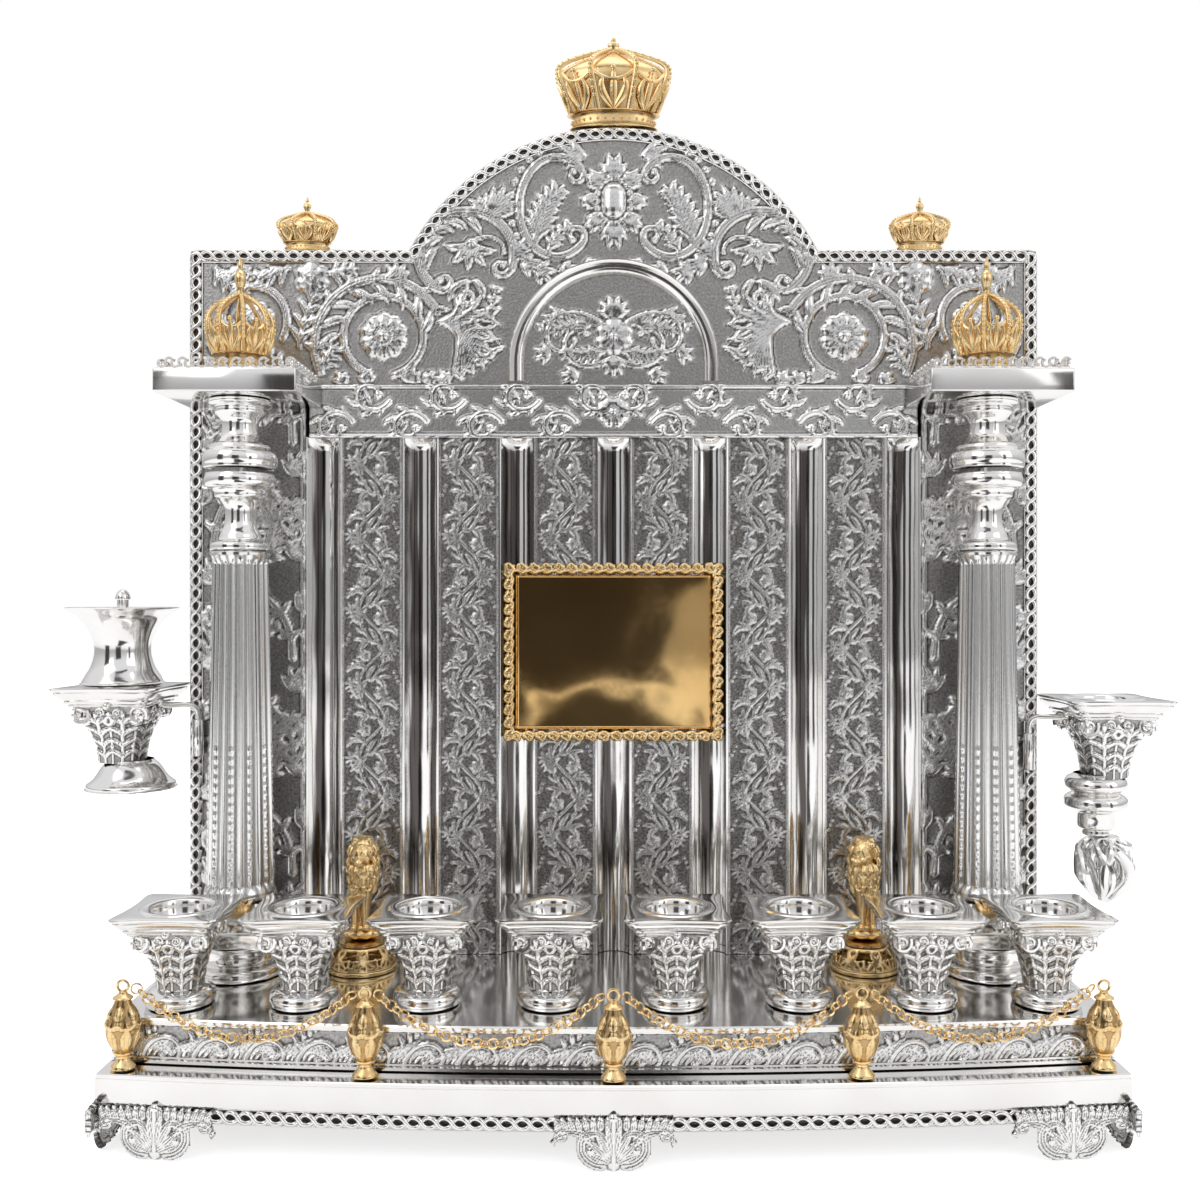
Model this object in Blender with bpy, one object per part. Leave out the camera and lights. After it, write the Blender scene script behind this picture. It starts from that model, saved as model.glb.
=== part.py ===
"""Silver menorah: a bow-fronted base, an arched back wall, columns, eight cups and two side lamps."""
import math

import bmesh
import bpy
from mathutils import Matrix, Vector

# Driving dimensions, in metres
GAP = 0.0003               # clearance between pieces that touch
BASE_HALF = 0.220          # half the base's width
BASE_BACK = 0.066          # back edge of the base
PLINTH_CORNER = -0.0535    # front edge of the plinth at its corners
BOX_HALF = 0.218
BOX_CORNER = -0.0419
BOW = 0.0125               # how far the front swells forward at its centre
BORDER_BOTTOM = 0.0160     # underside of the rope border
PLINTH_BOTTOM = 0.0223
LEDGE = 0.0359             # top of the plinth, where the urns stand
PLATFORM = 0.0555          # top of the base
WALL_FRONT = 0.0465
WALL_BACK = 0.0585
WALL_HALF = 0.216
SHOULDER = 0.415           # height of the wall's shoulders
ARCH_RADIUS = 0.118
ARCH_TOP = 0.4775
BORDER_WIDTH = 0.0063
FLUTE_PITCH = 0.0493
FLUTE_WIDTH = 0.017
FLUTE_DEPTH = 0.006
FLUTE_TOP = 0.319
COLUMN_X = 0.182
COLUMN_Y = 0.020
CUP_PITCH = 0.0556
CUP_Y = -0.024
CUP_HEIGHT = 0.0434
LAMP_X = 0.244
LAMP_Y = 0.031
SOCKET_X = 0.2105
SOCKET_Y = 0.0417
PIN_RADIUS = 0.0015
BEND_RADIUS = 0.005         # bend of the pin, from level to plumb
URN_XS = (-0.210, -0.1045, 0.0, 0.1045, 0.210)
CHAIN_HEIGHT = 0.0712
CHAIN_SAG = 0.021
CHAIN_RADIUS = 0.0024
LION_X = 0.1235
LION_Y = 0.025
PLAQUE_Z = 0.210
LUNETTE_BOTTOM = 0.348
LUNETTE_HALF = 0.054
LUNETTE_HEIGHT = 0.063
LUNETTE_WIDTH = 0.0085


def clear_scene():
    for obj in list(bpy.data.objects):
        bpy.data.objects.remove(obj, do_unlink=True)


FINISHES = {
    "silver": ((0.80, 0.79, 0.76), 0.18, 1.0),
    "dark_silver": ((0.45, 0.44, 0.42), 0.35, 1.0),
    "gold": ((0.93, 0.68, 0.33), 0.22, 1.0),
    "wood": ((0.10, 0.06, 0.04), 0.6, 0.0),
}


def make_material(name, finish):
    color, roughness, metallic = FINISHES[finish]
    material = bpy.data.materials.new(name + "_" + finish)
    material.use_nodes = True
    shader = material.node_tree.nodes["Principled BSDF"]
    shader.inputs["Base Color"].default_value = (*color, 1.0)
    shader.inputs["Roughness"].default_value = roughness
    shader.inputs["Metallic"].default_value = metallic
    return material


def add_object(name, bm, finish, at=(0, 0, 0), turn=0.0):
    """Turn a bmesh into a named object, placed at a point and turned about Z."""
    bmesh.ops.recalc_face_normals(bm, faces=bm.faces)
    mesh = bpy.data.meshes.new(name)
    bm.to_mesh(mesh)
    bm.free()
    mesh.shade_smooth()
    mesh.set_sharp_from_angle(angle=math.radians(35))
    obj = bpy.data.objects.new(name, mesh)
    bpy.context.collection.objects.link(obj)
    obj.location = at
    obj.rotation_euler = (0, 0, turn)
    mesh.materials.append(make_material(name, finish))
    return obj


# Shape tools
def loft(sections):
    """Join rings of equal point counts, given as lists of points, and close both ends."""
    bm = bmesh.new()
    rings = [[bm.verts.new(p) for p in ring] for ring in sections]
    count = len(rings[0])
    for low, high in zip(rings, rings[1:]):
        for i in range(count):
            j = (i + 1) % count
            bm.faces.new((low[i], low[j], high[j], high[i]))
    bm.faces.new(rings[0])
    bm.faces.new(rings[-1])
    return bm


def turned(profile, segments=16, flat=1.0):
    """A turned solid from (radius, height) pairs; flat squeezes it front to back."""
    angles = [2 * math.pi * i / segments for i in range(segments)]
    return loft([[(r * math.cos(a), r * flat * math.sin(a), z) for a in angles] for r, z in profile])


def prism(outline, low, high, along="z"):
    """An outline extruded between two heights along z, or along y or x."""
    def place(u, v, w):
        return {"z": (u, v, w), "y": (u, w, v), "x": (w, u, v)}[along]
    bm = bmesh.new()
    face = bm.faces.new([bm.verts.new(place(u, v, low)) for u, v in outline])
    moved = bmesh.ops.extrude_face_region(bm, geom=[face])["geom"]
    shift = Vector(place(0, 0, high)) - Vector(place(0, 0, low))
    bmesh.ops.translate(bm, vec=shift, verts=[v for v in moved if isinstance(v, bmesh.types.BMVert)])
    return bm


def ring_prism(outer, inner, low, high, along="z"):
    """A frame between two outlines with equal point counts; open ones are closed across their ends."""
    def place(u, v, w):
        return {"z": (u, v, w), "y": (u, w, v)}[along]
    bm = bmesh.new()
    rows = [[bm.verts.new(place(u, v, w)) for u, v in line]
            for line, w in ((outer, low), (outer, high), (inner, high), (inner, low))]
    for a, b in zip(rows, rows[1:] + rows[:1]):
        for i in range(len(outer)):
            j = (i + 1) % len(outer)
            bm.faces.new((a[i], a[j], b[j], b[i]))
    return bm


def arch_strip(outer, inner, low, high):
    """A strip bent in the wall's plane, with flat closed ends."""
    outline = list(outer) + list(reversed(inner))
    return prism(outline, low, high, along="y")


def arc(cx, cz, radius, start, end, steps):
    """Points on an arc, angles in degrees."""
    angles = [math.radians(start + (end - start) * i / steps) for i in range(steps + 1)]
    return [(cx + radius * math.cos(a), cz + radius * math.sin(a)) for a in angles]


def helper_object(bm):
    """An object that is only used to cut or join another."""
    bmesh.ops.recalc_face_normals(bm, faces=bm.faces)
    mesh = bpy.data.meshes.new("helper")
    bm.to_mesh(mesh)
    bm.free()
    obj = bpy.data.objects.new("helper", mesh)
    bpy.context.collection.objects.link(obj)
    obj.hide_render = True
    obj.display_type = "WIRE"
    return obj


def combine(obj, other_bm, operation):
    modifier = obj.modifiers.new(operation.lower(), "BOOLEAN")
    modifier.operation = operation
    modifier.solver = "EXACT"
    modifier.object = helper_object(other_bm)


def tube(points, radius, sides=8):
    """A round bar swept along points, with flat ends."""
    rings = []
    up = Vector((0.0, 1.0, 0.0))
    for i, point in enumerate(points):
        ahead = Vector(points[min(i + 1, len(points) - 1)]) - Vector(points[max(i - 1, 0)])
        side = ahead.cross(up).normalized()
        over = side.cross(ahead).normalized()
        angles = [2 * math.pi * k / sides for k in range(sides)]
        rings.append([Vector(point) + radius * (math.cos(a) * side + math.sin(a) * over) for a in angles])
    return loft(rings)


# Base
def bow_y(x, half, corner):
    """Front edge of the bowed plan at x."""
    return corner - BOW * (1 - (x / half) ** 2)


def base_plan(half, corner, back, inset=0.0, steps=24):
    half_in = half - inset
    xs = [-half_in + 2 * half_in * i / steps for i in range(steps + 1)]
    front = [(x, bow_y(x, half, corner) + inset) for x in xs]
    return front + [(half_in, back - inset), (-half_in, back - inset)]


def make_base():
    plinth = base_plan(BASE_HALF, PLINTH_CORNER, BASE_BACK)
    add_object("base_plinth", prism(plinth, PLINTH_BOTTOM, LEDGE - GAP), "silver")
    box = base_plan(BOX_HALF, BOX_CORNER, BASE_BACK - 0.001)
    add_object("base_box", prism(box, LEDGE, PLATFORM), "silver")
    outer = base_plan(BASE_HALF, PLINTH_CORNER, BASE_BACK, 0.0004)
    inner = base_plan(BASE_HALF, PLINTH_CORNER, BASE_BACK, 0.0040)
    board = base_plan(BASE_HALF, PLINTH_CORNER, BASE_BACK, 0.0043)
    top = PLINTH_BOTTOM - GAP
    add_object("base_rope_border", ring_prism(outer, inner, BORDER_BOTTOM, top), "silver")
    add_object("bottom_board", prism(board, BORDER_BOTTOM, top), "wood")


FOOT_WIDTH = 0.049
FOOT_X = 0.194
APRON_TOP = 0.0245


def foot_shape():
    """A cast foot seen from the side: a block under the base and an apron in front of it."""
    side = [(-0.0020, 0.0), (-0.0020, APRON_TOP), (-GAP, APRON_TOP), (-GAP, BORDER_BOTTOM - GAP),
            (0.020, BORDER_BOTTOM - GAP), (0.015, 0.0)]
    bm = prism(side, -FOOT_WIDTH / 2, FOOT_WIDTH / 2, along="x")
    narrow = 0.62
    for vert in bm.verts:
        if vert.co.z < 0.001:
            vert.co.x *= narrow
    return bm


def make_feet():
    slope = math.atan(2 * BOW * FOOT_X / BASE_HALF ** 2)
    corner_y = bow_y(FOOT_X, BASE_HALF, PLINTH_CORNER) + 0.0001
    places = {
        "foot_front_left": ((-FOOT_X, corner_y, 0), -slope),
        "foot_front_centre": ((0, PLINTH_CORNER - BOW, 0), 0.0),
        "foot_front_right": ((FOOT_X, corner_y, 0), slope),
        "foot_back_left": ((-FOOT_X, BASE_BACK, 0), math.pi),
        "foot_back_right": ((FOOT_X, BASE_BACK, 0), math.pi),
    }
    for name, (at, turn) in places.items():
        add_object(name, foot_shape(), "silver", at, turn)


# Wall
def wall_outline(inset):
    """The wall's left foot, its shoulders and arched head, and its right foot, open at the bottom."""
    radius = ARCH_RADIUS - inset
    centre_z = ARCH_TOP - ARCH_RADIUS
    shoulder = SHOULDER - inset
    start = math.degrees(math.asin((shoulder - centre_z) / radius))
    half = WALL_HALF - inset
    foot = PLATFORM + GAP
    head = arc(0, centre_z, radius, start, 180 - start, 24)
    return [(half, foot), (half, shoulder)] + head + [(-half, shoulder), (-half, foot)]


def flute_cutters():
    radius = ((FLUTE_WIDTH / 2) ** 2 + FLUTE_DEPTH ** 2) / (2 * FLUTE_DEPTH)
    centre_y = WALL_FRONT + FLUTE_DEPTH - radius
    bm = bmesh.new()
    for i in range(-3, 4):
        low = PLATFORM - 0.005
        place = Matrix.Translation((i * FLUTE_PITCH, centre_y, (low + FLUTE_TOP) / 2))
        bmesh.ops.create_cone(bm, cap_ends=True, segments=24, radius1=radius, radius2=radius,
                              depth=FLUTE_TOP - low, matrix=place)
    return bm


def make_wall():
    sheet_back = WALL_BACK - 0.003
    panel = prism(wall_outline(BORDER_WIDTH + GAP), WALL_FRONT, sheet_back - GAP, along="y")
    wall = add_object("wall_panel", panel, "dark_silver")
    combine(wall, flute_cutters(), "DIFFERENCE")
    cover = prism(wall_outline(BORDER_WIDTH + GAP), sheet_back, WALL_BACK, along="y")
    add_object("wall_back_cover", cover, "silver")
    border = arch_strip(wall_outline(0.0), wall_outline(BORDER_WIDTH), WALL_FRONT - 0.0015, WALL_BACK)
    add_object("wall_rope_border", border, "silver")


def lunette_line(inset):
    radius = LUNETTE_HALF - inset
    spring = LUNETTE_BOTTOM + LUNETTE_HEIGHT - LUNETTE_HALF
    return [(radius, LUNETTE_BOTTOM)] + arc(0, spring, radius, 0, 180, 20) + [(-radius, LUNETTE_BOTTOM)]


def make_wall_trim():
    front = WALL_FRONT - GAP
    moulding = arch_strip(lunette_line(0.0), lunette_line(LUNETTE_WIDTH), front - 0.0035, front)
    add_object("lunette_moulding", moulding, "silver")
    band = [(-0.155, FLUTE_TOP), (0.155, FLUTE_TOP), (0.155, 0.346), (-0.155, 0.346)]
    add_object("frieze_band", prism(band, front - 0.0012, front, along="y"), "silver")


def rounded_rectangle(half_x, half_z, radius, centre_z, steps=4):
    points = []
    for cx, cz, start in ((1, 1, 0), (-1, 1, 90), (-1, -1, 180), (1, -1, 270)):
        points += arc(cx * (half_x - radius), centre_z + cz * (half_z - radius), radius,
                      start, start + 90, steps)
    return points


def make_plaque():
    plate = rounded_rectangle(0.0497, 0.0392, 0.004, PLAQUE_Z)
    add_object("plaque_plate", prism(plate, WALL_FRONT - 0.0030, WALL_FRONT - 0.0008, along="y"), "gold")
    outer = rounded_rectangle(0.056, 0.0455, 0.008, PLAQUE_Z)
    inner = rounded_rectangle(0.050, 0.0395, 0.004, PLAQUE_Z)
    frame = ring_prism(outer, inner, WALL_FRONT - 0.0042, WALL_FRONT - 0.0004, along="y")
    add_object("plaque_frame", frame, "gold")


# Crowns
def make_crowns():
    top = [(0.0205, 0), (0.0215, 0.008), (0.0260, 0.015), (0.0320, 0.026), (0.0300, 0.035),
           (0.0200, 0.041), (0.0060, 0.0435), (0.0030, 0.045), (0.0035, 0.0475), (0.0010, 0.0492)]
    middle_y = (WALL_FRONT + WALL_BACK) / 2
    add_object("crown_top", turned(top, 20, 0.42), "gold", (0, middle_y, ARCH_TOP + GAP))
    small = [(0.0105, 0), (0.0115, 0.005), (0.0165, 0.013), (0.0150, 0.020), (0.0050, 0.0235),
             (0.0026, 0.026), (0.0010, 0.029)]
    for side, x in (("left", -0.158), ("right", 0.158)):
        add_object("crown_small_" + side, turned(small, 14, 0.45), "gold", (x, middle_y, SHOULDER + GAP))
    column = [(0.0120, 0), (0.0120, 0.010), (0.0135, 0.013), (0.0170, 0.024), (0.0165, 0.031),
              (0.0110, 0.039), (0.0035, 0.0425), (0.0022, 0.046), (0.0030, 0.050), (0.0010, 0.0585)]
    for side, x in (("left", -COLUMN_X), ("right", COLUMN_X)):
        add_object("column_crown_" + side, turned(column, 14), "gold", (x, COLUMN_Y, 0.3453))


# Columns
COLUMN_PROFILES = {
    "column_shaft": [(0.0172, 0.0923), (0.0172, 0.0980), (0.0160, 0.1000), (0.0140, 0.2500),
                     (0.0145, 0.2520), (0.0142, 0.2600)],
    "lower_capital": [(0.0140, 0.2603), (0.0140, 0.2642), (0.0098, 0.2675), (0.0071, 0.2788),
                      (0.0110, 0.2860), (0.0123, 0.2881), (0.0170, 0.2912), (0.0170, 0.2979)],
    "upper_capital": [(0.0179, 0.2998), (0.0179, 0.3094), (0.0145, 0.3098), (0.0090, 0.3145),
                      (0.0086, 0.3200), (0.0120, 0.3306), (0.0150, 0.3320), (0.0150, 0.3337)],
}


def square_ring(half, z, chamfer=0.12):
    """Sixteen points round a square with cut corners."""
    cut = half * chamfer
    third = (half - cut) / 2.5
    side = [(half, -half + cut), (half, -third), (half, third), (half, half - cut)]
    points = []
    for turn in range(4):
        c, s = round(math.cos(turn * math.pi / 2)), round(math.sin(turn * math.pi / 2))
        points += [(x * c - y * s, x * s + y * c, z) for x, y in side]
    return points


def round_ring(radius, z):
    """Sixteen points round a circle, in step with square_ring."""
    points = []
    for x, y, height in square_ring(1.0, z):
        length = math.hypot(x, y)
        points.append((radius * x / length, radius * y / length, height))
    return points


def make_column(side, x):
    at = (x, COLUMN_Y, 0)
    base = [round_ring(0.0210, PLATFORM + GAP), round_ring(0.0210, 0.0610), round_ring(0.0165, 0.0615),
            round_ring(0.0185, 0.0712), square_ring(0.0208, 0.0720), square_ring(0.0208, 0.0790),
            square_ring(0.0185, 0.0800), square_ring(0.0150, 0.0920)]
    add_object("column_base_" + side, loft(base), "silver", at)
    for name, profile in COLUMN_PROFILES.items():
        add_object(name + "_" + side, turned(profile), "silver", at)
    front = -0.0240
    back = WALL_FRONT - 0.0020 - COLUMN_Y
    slab = [(-0.0335, front), (0.0335, front), (0.0335, back), (-0.0335, back)]
    add_object("abacus_" + side, prism(slab, 0.3340, 0.3450), "silver", at)


# Cups and lamps
def abacus_ring(tip, z, hollow=0.86):
    """A square with cut corners and sides that curve in."""
    corner = tip * 0.86
    side = [(tip, -corner), (tip * hollow, -tip * 0.3), (tip * hollow, tip * 0.3), (tip, corner)]
    points = []
    for turn in range(4):
        c, s = round(math.cos(turn * math.pi / 2)), round(math.sin(turn * math.pi / 2))
        points += [(x * c - y * s, x * s + y * c, z) for x, y in side]
    return points


def circle_ring(radius, z):
    """Sixteen points round a circle, in step with abacus_ring."""
    points = []
    for x, y, height in abacus_ring(1.0, z):
        length = math.hypot(x, y)
        points.append((radius * x / length, radius * y / length, height))
    return points


def capital(tip, top, foot):
    """A bell under a square abacus with a round bowl; foot is a list of (radius, height) pairs."""
    bell_base = foot[-1]
    rings = [circle_ring(r, z) for r, z in foot]
    rings += [circle_ring(bell_base[0] * 1.05, bell_base[1] + 0.010), circle_ring(tip * 0.64, top - 0.0125)]
    rings += [abacus_ring(tip * 0.80, top - 0.0095), abacus_ring(tip * 0.88, top - 0.0045),
              abacus_ring(tip, top - 0.0015), abacus_ring(tip * 0.97, top - 0.0006),
              circle_ring(tip * 0.71, top), circle_ring(tip * 0.54, top)]
    rings += [circle_ring(tip * 0.50, top - 0.006), circle_ring(tip * 0.33, top - 0.011)]
    return loft(rings)


def make_cups():
    foot = [(0.0150, 0), (0.0155, 0.0015), (0.0150, 0.0048), (0.0118, 0.0068), (0.0098, 0.0085)]
    for i in range(8):
        x = (i - 3.5) * CUP_PITCH
        at = (x, CUP_Y, PLATFORM + GAP)
        add_object("cup_%d" % (i + 1), capital(0.0243, CUP_HEIGHT, foot), "silver", at)


def pin(side, height):
    """The bent pin that hangs a lamp in its socket."""
    x = side * SOCKET_X
    start = Vector((side * LAMP_X, LAMP_Y, height))
    corner = Vector((x, SOCKET_Y, height))
    along = (corner - start).normalized()
    bend = [start, corner - along * (BEND_RADIUS + 0.002)]
    for angle in (0, 30, 60, 90):
        a = math.radians(angle)
        back = along * BEND_RADIUS * (1 - math.sin(a))
        bend.append(corner - back - Vector((0, 0, BEND_RADIUS * (1 - math.cos(a)))))
    bend.append((x, SOCKET_Y, height - 0.0255))
    return tube(bend, PIN_RADIUS)


def socket(side, top):
    """A short open tube on the edge of the wall."""
    rings = [(0.0029, -0.0185), (0.0029, 0.0), (0.0019, 0.0), (0.0019, -0.0185)]
    angles = [2 * math.pi * i / 12 for i in range(12)]
    bm = bmesh.new()
    loops = [[bm.verts.new((r * math.cos(a), r * math.sin(a), z)) for a in angles] for r, z in rings]
    for low, high in zip(loops, loops[1:] + loops[:1]):
        for i in range(12):
            j = (i + 1) % 12
            bm.faces.new((low[i], low[j], high[j], high[i]))
    name = "left_socket" if side < 0 else "right_socket"
    add_object(name, bm, "silver", (side * SOCKET_X, SOCKET_Y, top))


def make_left_lamp():
    top = 0.1947
    foot = [(0.0210, -0.0517), (0.0210, -0.0480), (0.0150, -0.0430), (0.0112, -0.0370)]
    at = (-LAMP_X, LAMP_Y, top)
    holder = add_object("left_holder", capital(0.0265, 0.0, foot), "silver")
    holder.data.transform(Matrix.Translation(at))
    combine(holder, pin(-1, 0.1836), "UNION")
    socket(-1, 0.1760)
    outer = [(0.0190, 0.0003), (0.0175, 0.0020), (0.0145, 0.0090), (0.0130, 0.0183), (0.0170, 0.0290),
             (0.0262, 0.0380)]
    inner = [(0.0248, 0.0380), (0.0158, 0.0290), (0.0117, 0.0183), (0.0117, 0.0060)]
    add_object("burner_vase", turned(outer + inner, 20), "silver", at)
    wick = [(0.0027, 0.0063), (0.0027, 0.0430), (0.0036, 0.0436), (0.0036, 0.0452), (0.0015, 0.0470)]
    add_object("wick_tube", turned(wick, 12), "silver", at)


def make_right_lamp():
    top = 0.1886
    foot = [(0.0066, -0.0688), (0.0066, -0.0660), (0.0091, -0.0650), (0.0091, -0.0568),
            (0.0153, -0.0564), (0.0153, -0.0486), (0.0120, -0.0475), (0.0120, -0.0468),
            (0.0148, -0.0466), (0.0148, -0.0392), (0.0112, -0.0380)]
    at = (LAMP_X, LAMP_Y, top)
    holder = add_object("right_holder", capital(0.0265, 0.0, foot), "silver")
    holder.data.transform(Matrix.Translation(at))
    combine(holder, pin(1, 0.1775), "UNION")
    socket(1, 0.1690)
    bud = [(0.0020, -0.1019), (0.0060, -0.0990), (0.0120, -0.0920), (0.0160, -0.0840),
           (0.0160, -0.0780), (0.0110, -0.0730), (0.0066, -0.0691)]
    add_object("right_bud", turned(bud), "silver", at)


# Ornaments
def make_lions():
    dome = [(0.0170, 0), (0.0170, 0.0020), (0.0150, 0.0035), (0.0125, 0.0085), (0.0090, 0.0115),
            (0.0100, 0.0125), (0.0100, 0.0140)]
    body = [(0.0085, 0.0000, 0.0090), (0.0088, 0.0000, 0.0095), (0.0080, 0.0010, 0.0085),
            (0.0072, 0.0010, 0.0078), (0.0078, 0.0005, 0.0080), (0.0082, -0.0010, 0.0085),
            (0.0060, -0.0020, 0.0065)]
    heights = (0.0, 0.006, 0.018, 0.028, 0.036, 0.042, 0.050)
    for side, x in (("left", -LION_X), ("right", LION_X)):
        at = (x, LION_Y, PLATFORM + GAP)
        add_object("lion_dome_" + side, turned(dome), "gold", at)
        rings = []
        for (rx, y, ry), z in zip(body, heights):
            angles = [2 * math.pi * i / 14 for i in range(14)]
            rings.append([(rx * math.cos(a), y + ry * math.sin(a), z) for a in angles])
        add_object("lion_" + side, loft(rings), "gold", (x, LION_Y, PLATFORM + 2 * GAP + 0.0140))


def ledge_y(x):
    return (bow_y(x, BASE_HALF, PLINTH_CORNER) + bow_y(x, BOX_HALF, BOX_CORNER)) / 2


def make_urns():
    profile = [(0.0048, 0), (0.0052, 0.0015), (0.0032, 0.0042), (0.0030, 0.0060), (0.0055, 0.0085),
               (0.0080, 0.0170), (0.0082, 0.0215), (0.0055, 0.0270), (0.0040, 0.0300), (0.0036, 0.0320),
               (0.0020, 0.0330), (0.0020, 0.0368), (0.0008, 0.0380)]
    for i, x in enumerate(URN_XS):
        reach = min(0.0053 / 0.0082, 1.0)
        add_object("urn_%d" % (i + 1), turned(profile, 12, reach), "gold", (x, ledge_y(x), LEDGE + GAP))


def swag_points(start_x, end_x, count=13):
    """A hanging curve between two urns, from one neck to the next."""
    clear = 0.0046
    first = Vector((start_x + clear, ledge_y(start_x), CHAIN_HEIGHT))
    last = Vector((end_x - clear, ledge_y(end_x), CHAIN_HEIGHT))
    points = []
    for i in range(count):
        t = i / (count - 1)
        point = first.lerp(last, t)
        point.z -= 4 * CHAIN_SAG * t * (1 - t)
        points.append(point)
    return points


def make_chain(name, points):
    curve = bpy.data.curves.new(name, "CURVE")
    curve.dimensions = "3D"
    curve.bevel_depth = CHAIN_RADIUS
    curve.bevel_resolution = 2
    curve.use_fill_caps = True
    spline = curve.splines.new("POLY")
    spline.points.add(len(points) - 1)
    for slot, point in zip(spline.points, points):
        slot.co = (*point, 1.0)
    curve.materials.append(make_material(name, "gold"))
    obj = bpy.data.objects.new(name, curve)
    bpy.context.collection.objects.link(obj)


def make_chains():
    for i, (start, end) in enumerate(zip(URN_XS, URN_XS[1:])):
        make_chain("chain_%d" % (i + 1), swag_points(start, end))


def main():
    clear_scene()
    make_base()
    make_feet()
    make_wall()
    make_wall_trim()
    make_plaque()
    make_crowns()
    make_column("left", -COLUMN_X)
    make_column("right", COLUMN_X)
    make_cups()
    make_left_lamp()
    make_right_lamp()
    make_lions()
    make_urns()
    make_chains()


main()
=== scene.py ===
import math
import bmesh
import bpy
import numpy as np
from mathutils import Matrix, Vector


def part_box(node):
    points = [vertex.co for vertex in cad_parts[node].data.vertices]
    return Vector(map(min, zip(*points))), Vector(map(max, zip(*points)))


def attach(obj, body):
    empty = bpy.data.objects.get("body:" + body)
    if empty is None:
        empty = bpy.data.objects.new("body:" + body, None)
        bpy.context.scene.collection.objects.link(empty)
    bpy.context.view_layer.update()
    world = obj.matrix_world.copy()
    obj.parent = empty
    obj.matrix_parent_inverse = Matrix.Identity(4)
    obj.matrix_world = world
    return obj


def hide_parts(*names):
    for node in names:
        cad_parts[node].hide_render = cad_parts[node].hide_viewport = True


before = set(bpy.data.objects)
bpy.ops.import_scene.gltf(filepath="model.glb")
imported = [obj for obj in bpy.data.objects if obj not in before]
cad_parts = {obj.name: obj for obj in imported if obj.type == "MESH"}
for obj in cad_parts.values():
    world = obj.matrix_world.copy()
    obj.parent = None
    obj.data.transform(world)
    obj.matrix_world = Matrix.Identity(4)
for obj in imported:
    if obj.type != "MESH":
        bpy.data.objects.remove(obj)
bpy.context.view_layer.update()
mm = 0.001
tau = 2 * math.pi


# places
def boxMm(node):  # a node's corners in millimetres
    low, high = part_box(node)
    return np.array(low) / mm, np.array(high) / mm


def standing(node):  # the middle of a node's plan, its bottom and its top, in millimetres
    low, high = boxMm(node)
    return *((low[:2] + high[:2]) / 2), low[2], high[2]


cameraLook = {"place": (0, -0.541, 0.2364), "lens": 34.5, "shift": -0.01125, "near": 0.01}


def addCamera():
    camera = bpy.data.objects.new("camera", bpy.data.cameras.new("camera"))
    bpy.context.collection.objects.link(camera)
    camera.location = cameraLook["place"]
    camera.rotation_euler = (math.pi / 2, 0, 0)
    camera.data.lens = cameraLook["lens"]
    camera.data.shift_x = cameraLook["shift"]
    camera.data.clip_start = cameraLook["near"]
    bpy.context.scene.camera = camera


# shader maths
class Socket:
    def __init__(self, tree, output):
        self.tree, self.output = tree, output

    def node(self, kind, settings=None, inputs=None, output=0):
        return makeNode(self.tree, kind, settings, inputs, output)

    def maths(self, operation, first, second):
        return self.node("ShaderNodeMath", {"operation": operation}, {0: first, 1: second})

    def __add__(self, other):
        return self.maths("ADD", self, other)

    def __radd__(self, other):
        return self.maths("ADD", other, self)

    def __sub__(self, other):
        return self.maths("SUBTRACT", self, other)

    def __mul__(self, other):
        return self.maths("MULTIPLY", self, other)

    def limit(self):
        return self.node("ShaderNodeClamp", None, {0: self})


def makeNode(tree, kind, settings=None, inputs=None, output=0):
    node = tree.nodes.new(kind)
    for name, value in (settings or {}).items():
        if name == "stops":
            for stop, (place, color) in zip(node.color_ramp.elements, value):
                stop.position, stop.color = place, (*color, 1)
        else:
            setattr(node, name, value)
    for name, value in (inputs or {}).items():
        if isinstance(value, Socket):
            tree.links.new(value.output, node.inputs[name])
        else:
            node.inputs[name].default_value = value
    return Socket(tree, node.outputs[output])


def mixColors(amount, first, second):
    return makeNode(amount.tree, "ShaderNodeMix", {"data_type": "RGBA"}, {0: amount, 6: first, 7: second}, 2)


class Finish:  # a material and the sockets that most finishes start from
    def __init__(self, name, metallic=1.0):
        self.material = bpy.data.materials.new(name)
        self.material.use_nodes = True
        self.tree = self.material.node_tree
        self.shader = self.tree.nodes["Principled BSDF"]
        self.shader.inputs["Metallic"].default_value = metallic
        self.place = makeNode(self.tree, "ShaderNodeTexCoord", None, None, "Object")

    def noise(self, scale, detail=3.0, place=None):
        inputs = {"Vector": place or self.place, "Scale": scale, "Detail": detail}
        return makeNode(self.tree, "ShaderNodeTexNoise", None, inputs)

    def stretched(self, x, y, z):
        return makeNode(self.tree, "ShaderNodeMapping", None, {"Vector": self.place, "Scale": (x, y, z)})

    def attribute(self, name):
        return makeNode(self.tree, "ShaderNodeAttribute", {"attribute_name": name}, None, "Fac")

    def bump(self, height, strength, distance):
        inputs = {"Height": height, "Strength": strength, "Distance": distance}
        return makeNode(self.tree, "ShaderNodeBump", None, inputs)

    def feed(self, **values):
        for name, value in values.items():
            socket = self.shader.inputs[name.replace("_", " ")]
            if isinstance(value, Socket):
                self.tree.links.new(value.output, socket)
            else:
                socket.default_value = value


silverLook = {
    "bright": (0.93, 0.925, 0.91, 1),
    "warm": (0.84, 0.82, 0.79, 1),
    "oxide": (0.115, 0.105, 0.095, 1),
    # painted reflection: the dark colour of the band painted down the flutes
    "hollow": (0.045, 0.035, 0.030, 1),
    "polish": 0.07,
}
goldLook = {
    "bright": (1.0, 0.79, 0.45, 1),
    "deep": (0.82, 0.52, 0.20, 1),
    "shade": (0.26, 0.13, 0.04, 1),
    "sheetBright": (0.93, 0.66, 0.30, 1),
    "sheetDeep": (0.62, 0.36, 0.12, 1),
    # how far the painted shade darkens the gilt
    "shadeStrength": 0.9,
    "polish": 0.16,
}


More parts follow.
